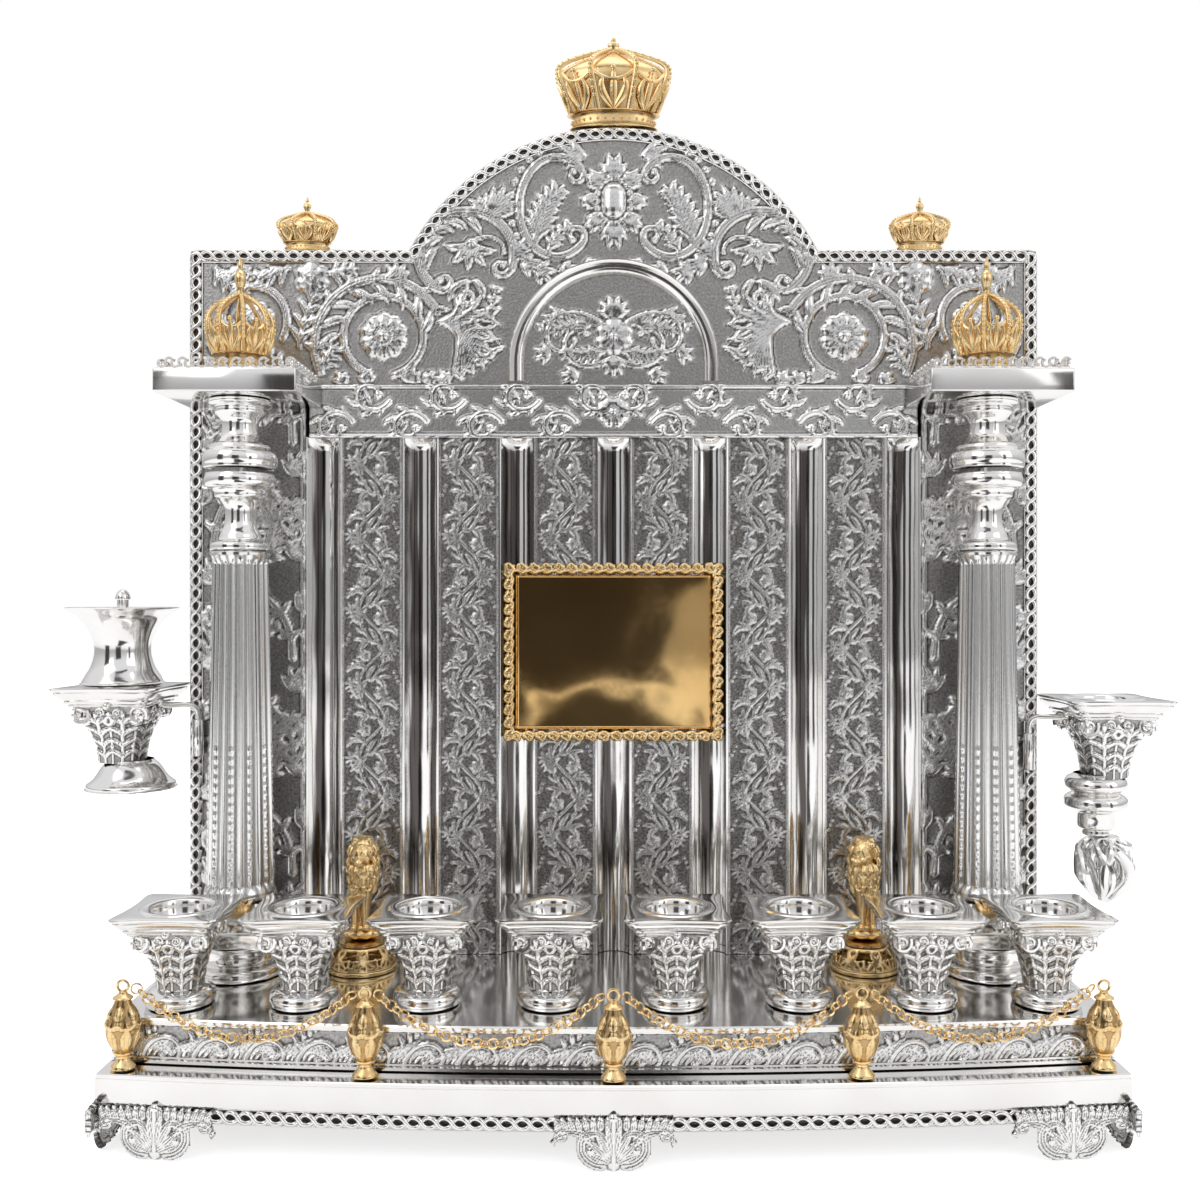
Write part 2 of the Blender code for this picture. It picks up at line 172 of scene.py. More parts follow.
def smoothSilver(name):  # what polished and fluted silver share
    finish = Finish(name)
    cloud = finish.noise(38.0, 4.0)
    tone = mixColors((cloud * 1.6 - 0.35).limit(), silverLook["bright"], silverLook["warm"])
    finish.feed(Normal=finish.bump(finish.noise(70.0, 1.0), 0.25, 0.00035))
    return finish, tone, silverLook["polish"] + cloud * 0.06


def polishedSilver():
    finish, tone, rough = smoothSilver("polished silver")
    scratch = finish.noise(900.0, 2.0, finish.stretched(1, 1, 0.06))
    finish.feed(Base_Color=tone, Roughness=rough + scratch * 0.05)
    return finish.material


def chasedSilver(name, oxide, stipple, haze):  # relief silver: dark where the patina and shade attribute is high
    finish = Finish(name)
    patinaAndShade = finish.attribute("patinaAndShade")
    grain = finish.noise(stipple, 2.0)
    worn = (patinaAndShade * (0.72 + grain * 0.55) * oxide + (grain * 1.4 - 0.4).limit() * haze).limit()
    finish.feed(Base_Color=mixColors(worn, silverLook["bright"], silverLook["oxide"]))
    finish.feed(Roughness=0.13 + worn * 0.34)
    finish.feed(Normal=finish.bump(grain * patinaAndShade, 0.55, 0.0006))
    return finish.material


def giltCasting():
    finish = Finish("gilt casting")
    patinaAndShade = finish.attribute("patinaAndShade")
    cloud = finish.noise(160.0, 3.0)
    tone = mixColors((cloud * 1.5 - 0.3).limit(), goldLook["bright"], goldLook["deep"])
    # painted shade: the gilt turns to its shade colour where the attribute is high
    finish.feed(Base_Color=mixColors((patinaAndShade * goldLook["shadeStrength"]).limit(), tone, goldLook["shade"]))
    finish.feed(Roughness=goldLook["polish"] + cloud * 0.12)
    finish.feed(Normal=finish.bump(finish.noise(700.0, 2.0), 0.22, 0.0003))
    return finish.material


def plaqueGold():
    finish = Finish("mirror gilt sheet")
    sweep = finish.noise(14.0, 2.0)
    finish.feed(Base_Color=mixColors((sweep * 1.8 - 0.4).limit(), goldLook["sheetBright"],
                                     goldLook["sheetDeep"]))
    finish.feed(Roughness=0.06 + finish.noise(300.0, 2.0) * 0.06)
    finish.feed(Normal=finish.bump(sweep, 0.5, 0.004))
    return finish.material


def stainedBoard():
    finish = Finish("stained board", 0.0)
    grain = finish.noise(60.0, 6.0, finish.stretched(0.12, 1, 1))
    finish.feed(Base_Color=mixColors(grain, (0.05, 0.028, 0.018, 1), (0.13, 0.075, 0.045, 1)))
    finish.feed(Roughness=0.5 + grain * 0.2)
    finish.feed(Normal=finish.bump(grain, 0.3, 0.0004))
    return finish.material


# painted shade: a near-black finish for the backings seen through the rope holes and the gaps between the
# wall's parts
def paintedShadeSilver():
    finish = Finish("blackened silver")
    cloud = finish.noise(220.0, 3.0)
    finish.feed(Base_Color=mixColors(cloud, (0.06, 0.055, 0.05, 1), (0.20, 0.19, 0.18, 1)))
    finish.feed(Roughness=0.38 + cloud * 0.2)
    return finish.material


def flutedSilver():  # polished, with a painted reflection: a dark streak where the patina and shade attribute is high
    finish, tone, rough = smoothSilver("fluted silver")
    paintedReflection = finish.attribute("patinaAndShade")
    finish.feed(Base_Color=mixColors(paintedReflection, tone, silverLook["hollow"]), Roughness=rough + paintedReflection * 0.04)
    return finish.material


looks = {
    "polished": polishedSilver(),
    "fluted": flutedSilver(),
    "wallRelief": chasedSilver("chased wall silver", 1.0, 900.0, 0.22),
    "castRelief": chasedSilver("chased cast silver", 0.95, 1400.0, 0.06),
    "gold": giltCasting(),
    "goldPlate": plaqueGold(),
    "board": stainedBoard(),
    "paintedShade": paintedShadeSilver(),
}
print("stage: materials")


# pieces
def finishPiece(name, mesh, look, nodes=(), body="root", sharp=38):
    mesh.materials.append(looks[look])
    mesh.shade_smooth()
    if sharp:
        mesh.set_sharp_from_angle(angle=math.radians(sharp))
    piece = bpy.data.objects.new(name, mesh)
    bpy.context.collection.objects.link(piece)
    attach(piece, body)
    if nodes:
        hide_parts(*nodes)
    return piece


def meshFrom(bm, name, outward=True):
    if outward:
        bmesh.ops.recalc_face_normals(bm, faces=bm.faces)
    mesh = bpy.data.meshes.new(name)
    bm.to_mesh(mesh)
    bm.free()
    return mesh


def pointsOf(mesh, field="co"):
    points = np.empty(len(mesh.vertices) * 3)
    mesh.vertices.foreach_get(field, points)
    return points.reshape(-1, 3)


def thicken(piece, thickness, offset=-1):
    shell = piece.modifiers.new("thickness", "SOLIDIFY")
    shell.thickness, shell.offset = thickness * mm, offset


def runOf(path):  # the distance along a flat path at each of its points
    return np.append(0, np.cumsum(np.hypot(*np.diff(path, axis=0).T)))


def raised(profile, rise):
    return [(radius, height + rise) for radius, height in profile]


def paint(mesh, values):  # the patina and painted shade of every point, 0 bright to 1 dark
    layer = mesh.attributes.new("patinaAndShade", "FLOAT", "POINT")
    layer.data.foreach_set("value", np.broadcast_to(values, len(mesh.vertices)).astype(np.float32))


def shadeRecesses(mesh, depth, rounds=5):  # painted shade: darker where the surface lies below its own softened shape
    count = len(mesh.vertices)
    points, normals = pointsOf(mesh), pointsOf(mesh, "normal")
    edges = np.empty(len(mesh.edges) * 2, int)
    mesh.edges.foreach_get("vertices", edges)
    edges = edges.reshape(-1, 2)
    soft = points.copy()
    share = np.bincount(edges.ravel(), minlength=count).astype(float) + 1
    for _ in range(rounds):
        total = soft.copy()
        for axis in range(3):
            total[:, axis] += np.bincount(edges[:, 0], soft[edges[:, 1], axis], count)
            total[:, axis] += np.bincount(edges[:, 1], soft[edges[:, 0], axis], count)
        soft = total / share[:, None]
    below = ((soft - points) * normals).sum(1) / (depth * mm)
    paint(mesh, np.clip(below, 0, 1))


def ringOf(bm, points):
    verts = [bm.verts.new(Vector(p) * mm) for p in points]
    return [bm.edges.new((verts[i], verts[(i + 1) % len(verts)])) for i in range(len(verts))]


def loft(bm, rings):  # rings of points in millimetres, joined one to the next
    loops = [ringOf(bm, ring) for ring in rings]
    for low, high in zip(loops, loops[1:]):
        bmesh.ops.bridge_loops(bm, edges=low + high)
    for loop in (loops[0], loops[-1]):
        bmesh.ops.contextual_create(bm, geom=loop)


def turn(bm, profile, x=0.0, y=0.0, steps=48, flat=1.0):  # (radius, height) pairs in millimetres
    verts = [bm.verts.new(Vector((r, 0, z)) * mm) for r, z in profile]
    edges = [bm.edges.new(pair) for pair in zip(verts, verts[1:])]
    bmesh.ops.spin(bm, geom=verts + edges, cent=(0, 0, 0), axis=(0, 0, 1), angle=tau, steps=steps,
                   use_merge=True)
    fresh = [v for v in bm.verts if v.tag is False]
    bmesh.ops.remove_doubles(bm, verts=fresh, dist=0.02 * mm)
    fresh = [v for v in bm.verts if v.tag is False]
    for v in fresh:
        v.co.y *= flat
        v.co += Vector((x, y, 0)) * mm
        v.tag = True


def smoothProfile(points, steps=5):  # a curve through the profile's points
    points = np.array(points, float)
    padded = np.vstack([2 * points[0] - points[1], points, 2 * points[-1] - points[-2]])
    made = []
    for a, b, c, d in zip(padded, padded[1:], padded[2:], padded[3:]):
        for t in np.arange(steps) / steps:
            made.append(0.5 * (2 * b + (c - a) * t + (2 * a - 5 * b + 4 * c - d) * t * t
                               + (3 * b - a - 3 * c + d) * t ** 3))
    return [tuple(p) for p in made] + [tuple(points[-1])]


def ball(bm, x, y, z, radius, scale=(1, 1, 1), detail=2):
    place = Matrix.Translation(Vector((x, y, z)) * mm) @ Matrix.Diagonal((*scale, 1))
    made = bmesh.ops.create_icosphere(bm, subdivisions=detail, radius=radius * mm, matrix=place)
    for v in made["verts"]:
        v.tag = True


def sweep(bm, path, radius, sides=8, closed=False, squash=1.0):  # a round bar along points in millimetres
    path = np.array(path, float)
    radii = np.broadcast_to(radius, len(path))
    if closed:
        ahead = np.roll(path, -1, 0) - np.roll(path, 1, 0)
    else:
        ahead = np.gradient(path, axis=0)
    angles = tau * np.arange(sides) / sides
    loops = []
    over = None
    for point, way, size in zip(path, ahead, radii):
        way = way / (np.linalg.norm(way) + 1e-9)
        start = over if over is not None else (np.array((0, 0, 1.0)) if abs(way[2]) < 0.8
                                               else np.array((0, 1.0, 0)))
        side = np.cross(way, start)
        side /= np.linalg.norm(side) + 1e-9
        over = np.cross(side, way)
        ring = [point + size * (math.cos(a) * side + squash * math.sin(a) * over) for a in angles]
        verts = [bm.verts.new(Vector(p) * mm) for p in ring]
        for v in verts:
            v.tag = True
        loops.append(verts)
    pairs = list(zip(loops, loops[1:])) + ([(loops[-1], loops[0])] if closed else [])
    for low, high in pairs:
        for i in range(sides):
            j = (i + 1) % sides
            bm.faces.new((low[i], low[j], high[j], high[i]))
    if not closed:
        bm.faces.new(loops[0][::-1])
        bm.faces.new(loops[-1])


# relief: a height map in millimetres, drawn with strokes
class Relief:
    def __init__(self, low, high, cell, wraps=False):
        self.low, self.cell, self.wraps = np.array(low, float), cell, wraps
        self.columns, self.rows = (int(round((h - l) / cell)) for l, h in zip(low, high))
        self.span = self.columns * cell
        self.height = np.zeros((self.rows + 1, self.columns + 1))

    def stamp(self, x, y, radius, height, power=0.5):
        shifts = (-self.span, 0, self.span) if self.wraps else (0,)
        for shift in shifts:
            u, v = (x + shift - self.low[0]) / self.cell, (y - self.low[1]) / self.cell
            reach = radius / self.cell
            i0, i1 = max(int(u - reach), 0), min(int(u + reach) + 1, self.columns)
            j0, j1 = max(int(v - reach), 0), min(int(v + reach) + 1, self.rows)
            if i0 > i1 or j0 > j1:
                continue
            near = (np.arange(i0, i1 + 1)[None, :] - u) ** 2 + (np.arange(j0, j1 + 1)[:, None] - v) ** 2
            dome = height * np.clip(1 - near / reach ** 2, 0, None) ** power
            window = self.height[j0:j1 + 1, i0:i1 + 1]
            np.maximum(window, dome, out=window)

    def stroke(self, path, radius, height, power=0.5):
        path = np.array(path)
        radii = np.broadcast_to(radius, len(path))
        heights = np.broadcast_to(height, len(path))
        for (x, y), r, h in zip(path, radii, heights):
            if r > 0.15:
                self.stamp(x, y, r, h, power)

    def mirror(self):
        self.height = np.maximum(self.height, self.height[:, ::-1])

    def blurred(self, times):
        soft = self.height
        for _ in range(times):
            soft = (soft + np.roll(soft, 1, 0) + np.roll(soft, -1, 0)) / 3
            soft = (soft + np.roll(soft, 1, 1) + np.roll(soft, -1, 1)) / 3
        return soft

    # oxide in the hollows and on the ground of silver; on gilt pieces the same darkening is painted shade
    def patinaAndShade(self, depth, ground):
        cavity = np.clip((self.blurred(2) - self.height) / depth * 4.0, 0, 1)
        plain = ground * np.clip(1 - self.height / (0.18 * depth), 0, 1)
        return np.clip(np.maximum(plain, cavity), 0, 1)

    def read(self, values, u, v):
        i = np.clip(np.round((u - self.low[0]) / self.cell).astype(int), 0, self.columns)
        j = np.clip(np.round((v - self.low[1]) / self.cell).astype(int), 0, self.rows)
        return values[j, i]

    def sheet(self, name, place, keep=None, skirt=0.0, depth=1.0, ground=0.75, tone=0.0):
        # a grid raised by the height map; place turns (u, v, h) into millimetres
        bm = bmesh.new()
        half = self.cell / 2
        bmesh.ops.create_grid(bm, x_segments=self.columns, y_segments=self.rows, size=half)
        scale = Vector((self.columns, self.rows, 1))
        centre = Vector((self.low[0] + self.columns * half, self.low[1] + self.rows * half, 0))
        for v in bm.verts:
            v.co = v.co * scale + centre
        if keep is not None:
            mids = np.array([f.calc_center_median()[:2] for f in bm.faces])
            wanted = keep(mids[:, 0], mids[:, 1])
            bmesh.ops.delete(bm, geom=[f for f, k in zip(bm.faces, wanted) if not k], context="FACES")
        if skirt:
            edges = [e for e in bm.edges if e.is_boundary]
            for made in bmesh.ops.extrude_edge_only(bm, edges=edges)["geom"]:
                if isinstance(made, bmesh.types.BMVert):
                    made.co.z = -skirt
        mesh = bpy.data.meshes.new(name)
        bm.to_mesh(mesh)
        bm.free()
        points = pointsOf(mesh)
        lift = self.read(self.blurred(1), points[:, 0], points[:, 1])
        lift = np.where(points[:, 2] < -0.01, points[:, 2], lift)
        moved = np.stack(place(points[:, 0], points[:, 1], lift), axis=1) * mm
        mesh.vertices.foreach_set("co", moved.ravel())
        dark = self.read(self.patinaAndShade(depth, ground), points[:, 0], points[:, 1])
        mesh.update()
        paint(mesh, tone + (1 - tone) * dark)  # tone greys the raised parts too
        return mesh


# drawing: stems, leaves and flowers, in millimetres and degrees
def stem(x, y, heading, length, bendStart, bendEnd):
    steps = max(int(length / 0.45), 6)
    bend = np.linspace(bendStart, bendEnd, steps)
    angles = np.radians(heading + np.cumsum(bend) * length / steps)
    walk = np.stack([np.cos(angles), np.sin(angles)], 1) * length / steps
    return np.vstack([[x, y], np.array([x, y]) + np.cumsum(walk, 0)]), np.degrees(np.append(angles[0],
            angles))


def lobe(relief, x, y, heading, length, bend, width, height):
    # a long petal; wide ones are ribbed lengthwise
    path, angles = stem(x, y, heading, length, bend, bend * 1.6)
    t = np.linspace(0, 1, len(path))
    swell = width * (0.30 + 0.70 * np.sin(np.pi * t ** 0.8)) * np.clip((1.02 - t) * 3.5, 0, 1)
    rise = height * (0.62 + 0.38 * np.sin(np.pi * t))
    relief.stroke(path, swell, rise * 0.62)
    across = np.stack([-np.sin(np.radians(angles)), np.cos(np.radians(angles))], 1)
    ribs = (-0.55, 0.0, 0.55) if width > 1.7 * relief.cell else (0.0,)
    for shift in ribs:
        relief.stroke(path + across * (swell * shift)[:, None], swell * (0.40 if len(ribs) > 1 else 0.8),
                      rise)


def frond(relief, x, y, heading, length, bend, width, height):
    # a small acanthus leaf: a middle lobe with shorter ones on both sides
    path, angles = stem(x, y, heading, length, bend, bend)
    for part, size in ((0.18, 0.50), (0.42, 0.46), (0.66, 0.34)):
        i = int(part * (len(path) - 1))
        for side in (-1, 1):
            lobe(relief, *path[i], angles[i] + side * 38, length * size, side * 5.0, width * 0.72,
                 height * 0.85)
    lobe(relief, x, y, heading, length, bend, width, height)


def band(relief, path, radius, height):  # a broad stem with raised ribs along it
    path = np.array(path)
    ahead = np.gradient(path, axis=0)
    ahead /= np.linalg.norm(ahead, axis=1)[:, None] + 1e-9
    across = np.stack([-ahead[:, 1], ahead[:, 0]], 1)
    radii = np.broadcast_to(radius, len(path))
    relief.stroke(path, radii, height * 0.60, 0.35)
    for shift, rise in ((-0.62, 1.0), (0.0, 0.84), (0.62, 0.92)):
        relief.stroke(path + across * (radii * shift)[:, None], radii * 0.32, height * rise)


def scroll(relief, x, y, heading, length, bendStart, bendEnd, radius,
           height):  # a broad stem that ends in a bead
    path, angles = stem(x, y, heading, length, bendStart, bendEnd)
    band(relief, path, np.linspace(radius, radius * 0.55, len(path)), height)
    relief.stamp(*path[-1], radius, height * 1.2)
    return path, angles


def ringBand(relief, x, y, across, up, start, end, radius, height):  # part of an oval, angles in degrees
    angles = np.radians(np.linspace(start, end, int(abs(end - start) / 2) + 2))
    band(relief, np.stack([x + across * np.cos(angles), y + up * np.sin(angles)], 1), radius, height)


def acanthus(relief, x, y, heading, length, bendStart, bendEnd, width, height, lobes=5):
    # lobes leave a curved spine at a low angle and roll outward at their tips
    path, angles = stem(x, y, heading, length, bendStart, bendEnd)
    for part in np.linspace(0.04, 0.78, lobes):
        i = int(part * (len(path) - 1))
        size = length * (0.46 - 0.22 * part)
        for side in (-1, 1):
            lobe(relief, *path[i], angles[i] + side * 16, size, side * 44 / size, width, height * 0.86)
    band(relief, path, np.linspace(width * 0.9, width * 0.35, len(path)), height)


def leafyStem(relief, x, y, heading, length, bendStart, bendEnd, look):
    # a scrolling stem with lobes on both sides and a bead at its end, which it returns
    path, angles = stem(x, y, heading, length, bendStart, bendEnd)
    t = np.linspace(0, 1, len(path))
    relief.stroke(path, look["stem"] * (1.15 - 0.45 * t), look["height"])
    outer = -math.copysign(1, bendStart + bendEnd)
    for part in np.linspace(*look["reach"], look["lobes"]):
        i = int(part * (len(path) - 1))
        size = look["leaf"] * (0.55 + 0.65 * math.sin(math.pi * part))
        lobe(relief, *path[i], angles[i] + outer * look["spread"], size, -outer * look["curl"] / size,
             look["fat"] * size, look["height"] * 0.9)
        lobe(relief, *path[i], angles[i] - outer * look["spread"] * 0.9, size * look["inner"],
             outer * look["curl"] / size, look["fat"] * size * 0.8, look["height"] * 0.8)
    relief.stamp(*path[-1], look["stem"] * 1.5, look["height"] * 1.25)
    return path[-1]


def fan(relief, x, y, heading, spread, count, length, width, height, curl=0.0):
    for i in range(count):
        side = (i / (count - 1) - 0.5) * 2
        size = length * (1 - 0.28 * side * side)
        lobe(relief, x, y, heading + side * spread / 2, size, side * curl / size, width, height)


def rosette(relief, x, y, radius, petals, height, beads=0):
    for i in range(petals):
        a = tau * (i + 0.5) / petals
        px, py = x + 0.62 * radius * math.cos(a), y + 0.62 * radius * math.sin(a)
        relief.stamp(px, py, radius * 0.95 * math.sin(math.pi / petals) + 0.3, height * 0.85)
        lobe(relief, x, y, math.degrees(a), radius, 0, radius * 0.16, height)
    for i in range(beads):
        a = tau * i / beads
        relief.stamp(x + 0.40 * radius * math.cos(a), y + 0.40 * radius * math.sin(a), radius * 0.12,
                     height * 1.15)
    relief.stamp(x, y, radius * 0.30, height * 1.4)


vineLeaf = {"stem": 0.8, "height": 0.95, "leaf": 8.6, "reach": (0.12, 0.90), "lobes": 6, "spread": 40,
            "curl": 30, "fat": 0.145, "inner": 0.5}
friezeLeaf = {"stem": 1.5, "height": 1.9, "leaf": 8.5, "reach": (0.10, 0.95), "lobes": 6, "spread": 38,
              "curl": 34, "fat": 0.16, "inner": 0.4}
print("stage: drawing tools")

# back wall
wallLow, wallHigh = boxMm("wall_rope_border")
panelLow, panelHigh = boxMm("wall_panel")
bandLow, bandHigh = boxMm("frieze_band")
lunetteLow, lunetteHigh = boxMm("lunette_moulding")
wallFront = panelLow[1]
wall = {
    "archRadius": 118.0, "shoulder": 415.0, "ropeWidth": 6.4, "ropePitch": 6.35,
    "flutePitch": 49.3, "fluteWidth": 17.0, "fluteDepth": 5.6, "cell": 0.62,
}
archCentre = wallHigh[2] - wall["archRadius"]


def wallPath(inset, step=1.2):  # up the left edge, over the shoulders and the arch, down the right edge
    radius = wall["archRadius"] - inset
    half, shoulder, foot = wallHigh[0] - inset, wall["shoulder"] - inset, panelLow[2]
    start = math.asin((shoulder - archCentre) / radius)
    corners = [(-half, foot), (-half, shoulder), (-radius * math.cos(start), shoulder)]
    arch = [(-radius * math.cos(a), archCentre + radius * math.sin(a))
            for a in np.linspace(start, math.pi - start, 60)[1:-1]]
    corners += arch + [(-x, z) for x, z in corners[::-1]]
    corners = np.array(corners)
    run = runOf(corners)
    at = np.linspace(0, run[-1], int(run[-1] / step))
    return np.stack([np.interp(at, run, corners[:, 0]), np.interp(at, run, corners[:, 1])], 1)


def onWall(u, v, h):
    return u, wallFront - h, v


def insideArch(x, z, margin):
    radius = wall["archRadius"] - margin
    box = (np.abs(x) < wallHigh[0] - margin) & (z < wall["shoulder"] - margin)
    return box | (x ** 2 + (z - archCentre) ** 2 < radius ** 2)


def lunetteGap(x, z, half):  # below zero inside the lunette's outline of that half width
    spring = lunetteHigh[2] - lunetteHigh[0]
    return np.where(z > spring, np.hypot(x, z - spring), np.abs(x)) - half


def vinePanel(index, centre):
    low, high = (centre - 15.9, panelLow[2]), (centre + 15.9, bandLow[2] + 0.5)
    relief = Relief(low, high, wall["cell"])
    facing = 1 if centre > 0 else -1
    wave, swing = 38.0, 6.2
    zs = np.arange(low[1], high[1], 0.45)
    stalk = np.stack([centre + facing * swing * np.sin(tau * (zs - 300) / wave), zs], 1)
    relief.stroke(stalk, 0.85, 0.9)
    for k in range(-14, 3):
        z = 300 + k * wave / 2
        side = facing * (1 if k % 2 else -1)
        end = leafyStem(relief, centre - side, z - 8, 90 + side * 40, 34, -side * 0.6, -side * 15.0, vineLeaf)
        rosette(relief, *end, 2.8, 5, 1.1)
        for j in range(5):
            lobe(relief, centre + side * (3 + 1.2 * j), z - 5 + 0.8 * j, 90 - side * (20 + 22 * j),
                 10.5 - 0.8 * j, -side * 5.0, 1.1, 1.0)
        for j in range(4):
            lobe(relief, centre - side * 5, z + 4, 90 + side * (95 - 26 * j), 8.6, side * 5.5, 1.05, 0.95)
        lobe(relief, centre + side * 6, z + 3.5, 90 - side * 8, 11.0, side * 7, 1.7, 0.85)
        fan(relief, centre + side * 9.5, z - 12.0, 90 - side * 75, 130, 5, 5.6, 1.0, 0.8, 25)
        for j in range(3):
            relief.stamp(centre + side * (13.4 - 1.0 * j), z + 9 + 2.3 * j, 0.95, 0.8)
    for x in (low[0] + 0.8, high[0] - 0.8):
        relief.stroke(np.stack([np.full(len(zs), x), zs], 1), 0.7, 0.5)
    mesh = relief.sheet("vine_panel_%d" % index, onWall, skirt=2.0, depth=1.0, ground=0.74, tone=0.30)
    finishPiece("vine_panel_%d" % index, mesh, "wallRelief", ["wall_panel"], sharp=0)


def flutePiece(index, centre):
    bm = bmesh.new()
    bmesh.ops.create_grid(bm, x_segments=44, y_segments=110, size=0.5)
    low, high = panelLow[2], bandLow[2] + 0.5
    half, depth = wall["fluteWidth"] / 2, wall["fluteDepth"]
    for v in bm.verts:
        across, up = v.co.x * 2, v.co.y + 0.5
        z = low + (high - low) * up
        dent = depth * (1 - abs(across) ** 2.4) * min(1.0, (high - z) / 5.0 + 0.25)
        ripple = 0.10 * math.sin(z * 0.043 + centre) + 0.05 * math.sin(z * 0.17 + 2 * centre)
        v.co = Vector((centre + across * half, wallFront + dent * (1 + 0.25 * ripple) + ripple * 0.6 - 0.15,
                       z)) * mm
    rims = [e for e in bm.edges if e.is_boundary]
    made = bmesh.ops.extrude_edge_only(bm, edges=rims)["geom"]
    bmesh.ops.translate(bm, vec=(0, 0.0015, 0), verts=[v for v in made if isinstance(v, bmesh.types.BMVert)])
    mesh = meshFrom(bm, "flute", False)
    x, _, z = (pointsOf(mesh) / mm).T
    # painted reflection: a dark band down each flute, fading at the top and towards the foot, in place of the
    # dark room that the polished hollow would mirror
    middle = -0.30 + 0.10 * np.sign(centre) + 0.07 * np.sin(z * 0.031 + centre) + 0.04 * np.sin(z * 0.11)
    reach = 0.36 + 0.07 * np.sin(z * 0.023 + 2 * centre)
    edge = (reach - np.abs((x - centre) / half - middle)) * 7
    paint(mesh, np.clip(edge, 0, 1) * np.clip((high - 3 - z) / 4, 0, 1) * np.clip((z - low - 12) / 30, 0.25,
            1) * 0.93)
    finishPiece("flute_%d" % index, mesh, "fluted", ["wall_panel"], sharp=60)
    bm = bmesh.new()
    for side in (-1, 1):
        x = centre + side * (half + 0.2)
        sweep(bm, [(x, wallFront - 0.2, z) for z in np.linspace(low, high, 12)], 0.75, 8)
    finishPiece("flute_edges_%d" % index, meshFrom(bm, "flute edges"), "polished", ["wall_panel"])


def sideStrip(name, side):
    x0, x1 = (157.0, 210.5) if side > 0 else (-210.5, -157.0)
    relief = Relief((x0, panelLow[2]), (x1, 348.0), 0.8)
    centre = (x0 + x1) / 2
    for k in range(6):
        z = 42 + k * 55
        lean = side * (1 if k % 2 else -1)
        path, angles = scroll(relief, centre - lean * 20, z, 90, 92, -lean * 0.6, -lean * 7.0, 2.3, 2.2)
        rosette(relief, *path[-1], 8.0, 7, 2.4, 7)
        for part, size in ((0.10, 18), (0.24, 19), (0.38, 18), (0.52, 16), (0.66, 13)):
            i = int(part * len(path))
            acanthus(relief, *path[i], angles[i] - lean * 32, size, -lean * 1.5, -lean * 4.0, 1.7, 2.1, 3)
            lobe(relief, *path[i], angles[i] + lean * 38, size * 0.5, lean * 4.0, 2.0, 1.9)
        acanthus(relief, centre + lean * 23, z - 2, 90 + lean * 14, 30, lean * 0.4, -lean * 2.6, 2.0, 2.1, 4)
        for x, up, heading, size in ((20, 38, 70, 15), (-22, 26, 150, 12), (22, 18, 20, 12), (4, 12, 60, 17),
                                     (-6, 50, 120, 15), (-22, 50, 100, 13), (12, 2, 100, 13)):
            way = heading if lean > 0 else 180 - heading
            fan(relief, centre + lean * x, z + up, way, 96, 5, size, 2.1, 2.0, 14)
    edge = x0 + 1.5 if side > 0 else x1 - 1.5
    zs = np.arange(panelLow[2], 346.0, 0.6)
    relief.stroke(np.stack([np.full(len(zs), edge), zs], 1), 1.6, 1.5)
    mesh = relief.sheet(name, onWall, skirt=2.0, depth=2.0, ground=0.60, tone=0.20)
    finishPiece(name, mesh, "wallRelief", ["wall_panel"], sharp=0)


